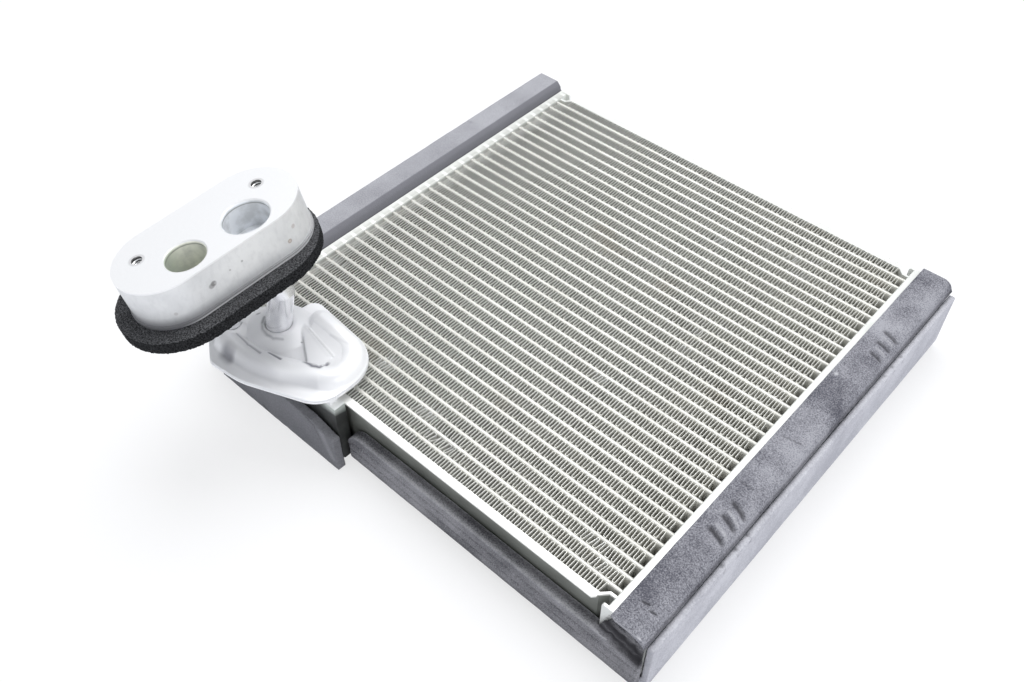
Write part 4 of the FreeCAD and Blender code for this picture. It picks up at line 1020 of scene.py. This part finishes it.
# Marks of painted shade in the creases, with painted highlights beside them, painted shade in the
# gap along the outer edge, a painted highlight along the front end, and small dark and pale spots.
add_foam("right_top_sheet", "right_top_foam", grey_foam,
         voxel=0.00065, passes=2, lump=0.00008, marks=[
    ((128.2, -43.5, 44.3), (138.0, -46.7, 44.3), 2.2, 1.3, 0.85),
    ((129.0, -34.9, 44.3), (137.9, -38.3, 44.3), 2.2, 1.3, 0.85),
    ((128.7, -26.9, 44.3), (138.4, -30.7, 44.3), 2.2, 1.3, 0.85),
    ((129.0, -40.6, 44.3), (137.0, -43.6, 44.3), 1.5, -0.5, -0.22),
    ((129.5, -32.2, 44.3), (137.0, -35.6, 44.3), 1.5, -0.5, -0.22),
    ((128.6, 105.8, 44.3), (136.9, 103.1, 44.3), 1.9, 1.1, 0.75),
    ((129.2, 97.5, 44.3), (136.3, 95.8, 44.3), 1.9, 1.1, 0.75),
    ((130.3, 89.1, 44.3), (137.8, 87.3, 44.3), 1.9, 1.1, 0.75),
    ((129.5, 101.5, 44.3), (136.0, 99.4, 44.3), 1.4, -0.4, -0.2),
    ((130.5, 93.0, 44.3), (136.5, 91.2, 44.3), 1.4, -0.4, -0.2),
    ((139.8, -102.0, 40.2), (139.8, 160.0, 40.2), 2.2, 0.4, 0.9),
    ((125.1, 17.5, 44.5), (134.0, 18.9, 44.5), 0.9, 0.2, 0.35),
    ((124.6, -15.7, 44.5), (130.7, -15.7, 44.5), 0.9, 0.2, 0.35),
    ((124.1, 65.7, 44.5), (124.4, 66.0, 44.5), 1.6, 0.0, -0.5),
    ((127.3, -89.2, 44.5), (130.2, -88.6, 44.5), 1.0, 0.5, 0.9),
    ((132.1, -90.6, 44.5), (135.9, -89.9, 44.5), 1.0, 0.5, 0.9),
    ((122.5, -102.4, 43.6), (138.5, -102.4, 43.6), 0.8, 0.0, -0.5),
])


# Side foam. Smooth pale foam, glued around the outer side of each tank. The right one is dented
# where the creases of the sheet above it end, with painted shade in the dents.
pale_foam = foam_finish("pale_foam", (0.58, 0.58, 0.62, 1.0), (0.40, 0.40, 0.44, 1.0),
                        cell=1300.0, depth=0.0002)
add_foam("left_side_pad", "left_side_foam", pale_foam,
         voxel=0.0011, passes=2, lump=0.00010)
add_foam("right_side_pad", "right_side_foam", pale_foam,
         voxel=0.0011, passes=2, lump=0.00010, marks=[
    ((139.5, -50.5, 36.6), (142.1, -51.0, 34.0), 1.5, 0.8, 0.6),
    ((139.5, -40.3, 36.6), (142.1, -41.0, 34.0), 1.5, 0.8, 0.6),
    ((139.5, -31.0, 36.6), (142.1, -31.6, 34.0), 1.5, 0.8, 0.6),
    ((140.0, 103.8, 36.6), (142.1, 103.6, 34.0), 1.2, 0.5, 0.5),
    ((140.0, 95.1, 36.6), (142.1, 95.0, 34.0), 1.2, 0.5, 0.5),
    ((140.0, 87.1, 36.6), (142.1, 87.0, 34.0), 1.2, 0.5, 0.5),
])


# Front strip. Grey foam glued along the front side plate, with lines of painted shade and painted
# highlight along it. It is rounded off at its left end, and its right end is folded up over the
# cap, crumpled and painted nearly black with shade.
STRIP_ROUND_FROM, STRIP_ROUND_REACH, STRIP_ROUND_FOOT = -0.0250, 0.0100, 0.012
FOLDED_FROM_X, FOLDED_FROM_Z = 0.116, 0.0255
strip_foam = foam_finish("strip_foam", (0.33, 0.325, 0.345, 1.0), (0.10, 0.10, 0.11, 1.0),
                         cell=1500.0, depth=0.0004)
# Marks: a painted highlight along the crest, painted shade under it and in the grooves along the
# face, and painted shade, nearly black, on the right end.
front_strip = add_foam("front_strip_pad", "front_foam_strip", strip_foam,
                       voxel=0.0008, passes=2, lump=0.00012, marks=[
    ((-34.0, -98.0, 26.0), (113.0, -98.0, 26.0), 0.8, 0.0, -0.9),
    ((-34.0, -99.9, 26.0), (140.0, -99.9, 26.0), 2.0, 0.15, 0.5),
    ((-34.0, -103.4, 26.0), (128.0, -103.4, 26.0), 1.6, 0.0, -0.22),
    ((-34.0, -104.2, 19.5), (140.0, -104.2, 19.5), 1.3, 0.6, 0.3),
    ((-34.0, -104.2, 12.5), (140.0, -104.2, 12.5), 1.3, 0.5, 0.3),
    ((-34.0, -104.2, 7.0), (140.0, -104.2, 7.0), 2.2, 0.0, 0.2),
    ((117.0, -103.0, 38.0), (139.0, -103.0, 31.0), 9.0, 0.4, 1.0),
    ((118.0, -103.0, 31.0), (139.0, -103.0, 27.0), 6.0, 0.2, 1.0),
])


def shape_strip(mesh):
    """Round the strip off at its left end and crumple the part folded up at its right end."""
    for vertex in mesh.vertices:
        spot = vertex.co
        near_end = min(max((STRIP_ROUND_FROM - spot.x) / STRIP_ROUND_REACH, 0.0), 1.0)
        lowered = 1.0 - math.sqrt(1.0 - 0.8 * near_end * near_end)
        spot.z -= max(spot.z - STRIP_ROUND_FOOT, 0.0) * lowered
        if spot.x > FOLDED_FROM_X and spot.z > FOLDED_FROM_Z:
            spot.y += 0.0012 * max(noise.noise(spot * 330.0), -0.2)
            spot.z -= 0.0016 * max(noise.noise(spot * 240.0 + Vector((5, 5, 5))), 0.0)


shape_strip(front_strip.data)


# Foam flap. A thin sheet of smooth grey foam, glued over the side duct at the left front corner.
# It is nicked at its lower edge and creased near its right end, with painted shade in the crease
# and a painted highlight beside it.
flap_foam = foam_finish("flap_foam", (0.27, 0.27, 0.285, 1.0), (0.15, 0.15, 0.165, 1.0),
                        cell=1100.0, depth=0.0002, contrast=0.2)
add_foam("left_flap_sheet", "front_left_foam_flap", flap_foam,
         voxel=0.0009, passes=2, lump=0.00025, marks=[
    ((-93.5, -112.0, 3.0), (-90.0, -112.0, 1.0), 1.2, 0.8, 0.8),
    ((-57.0, -112.0, 28.0), (-49.5, -112.0, 24.5), 1.0, 0.5, 0.75),
    ((-49.5, -112.0, 24.5), (-46.5, -112.0, 17.0), 0.9, 0.4, 0.6),
    ((-44.0, -112.0, 22.0), (-39.0, -112.0, 8.0), 4.0, 0.0, -0.12),
])
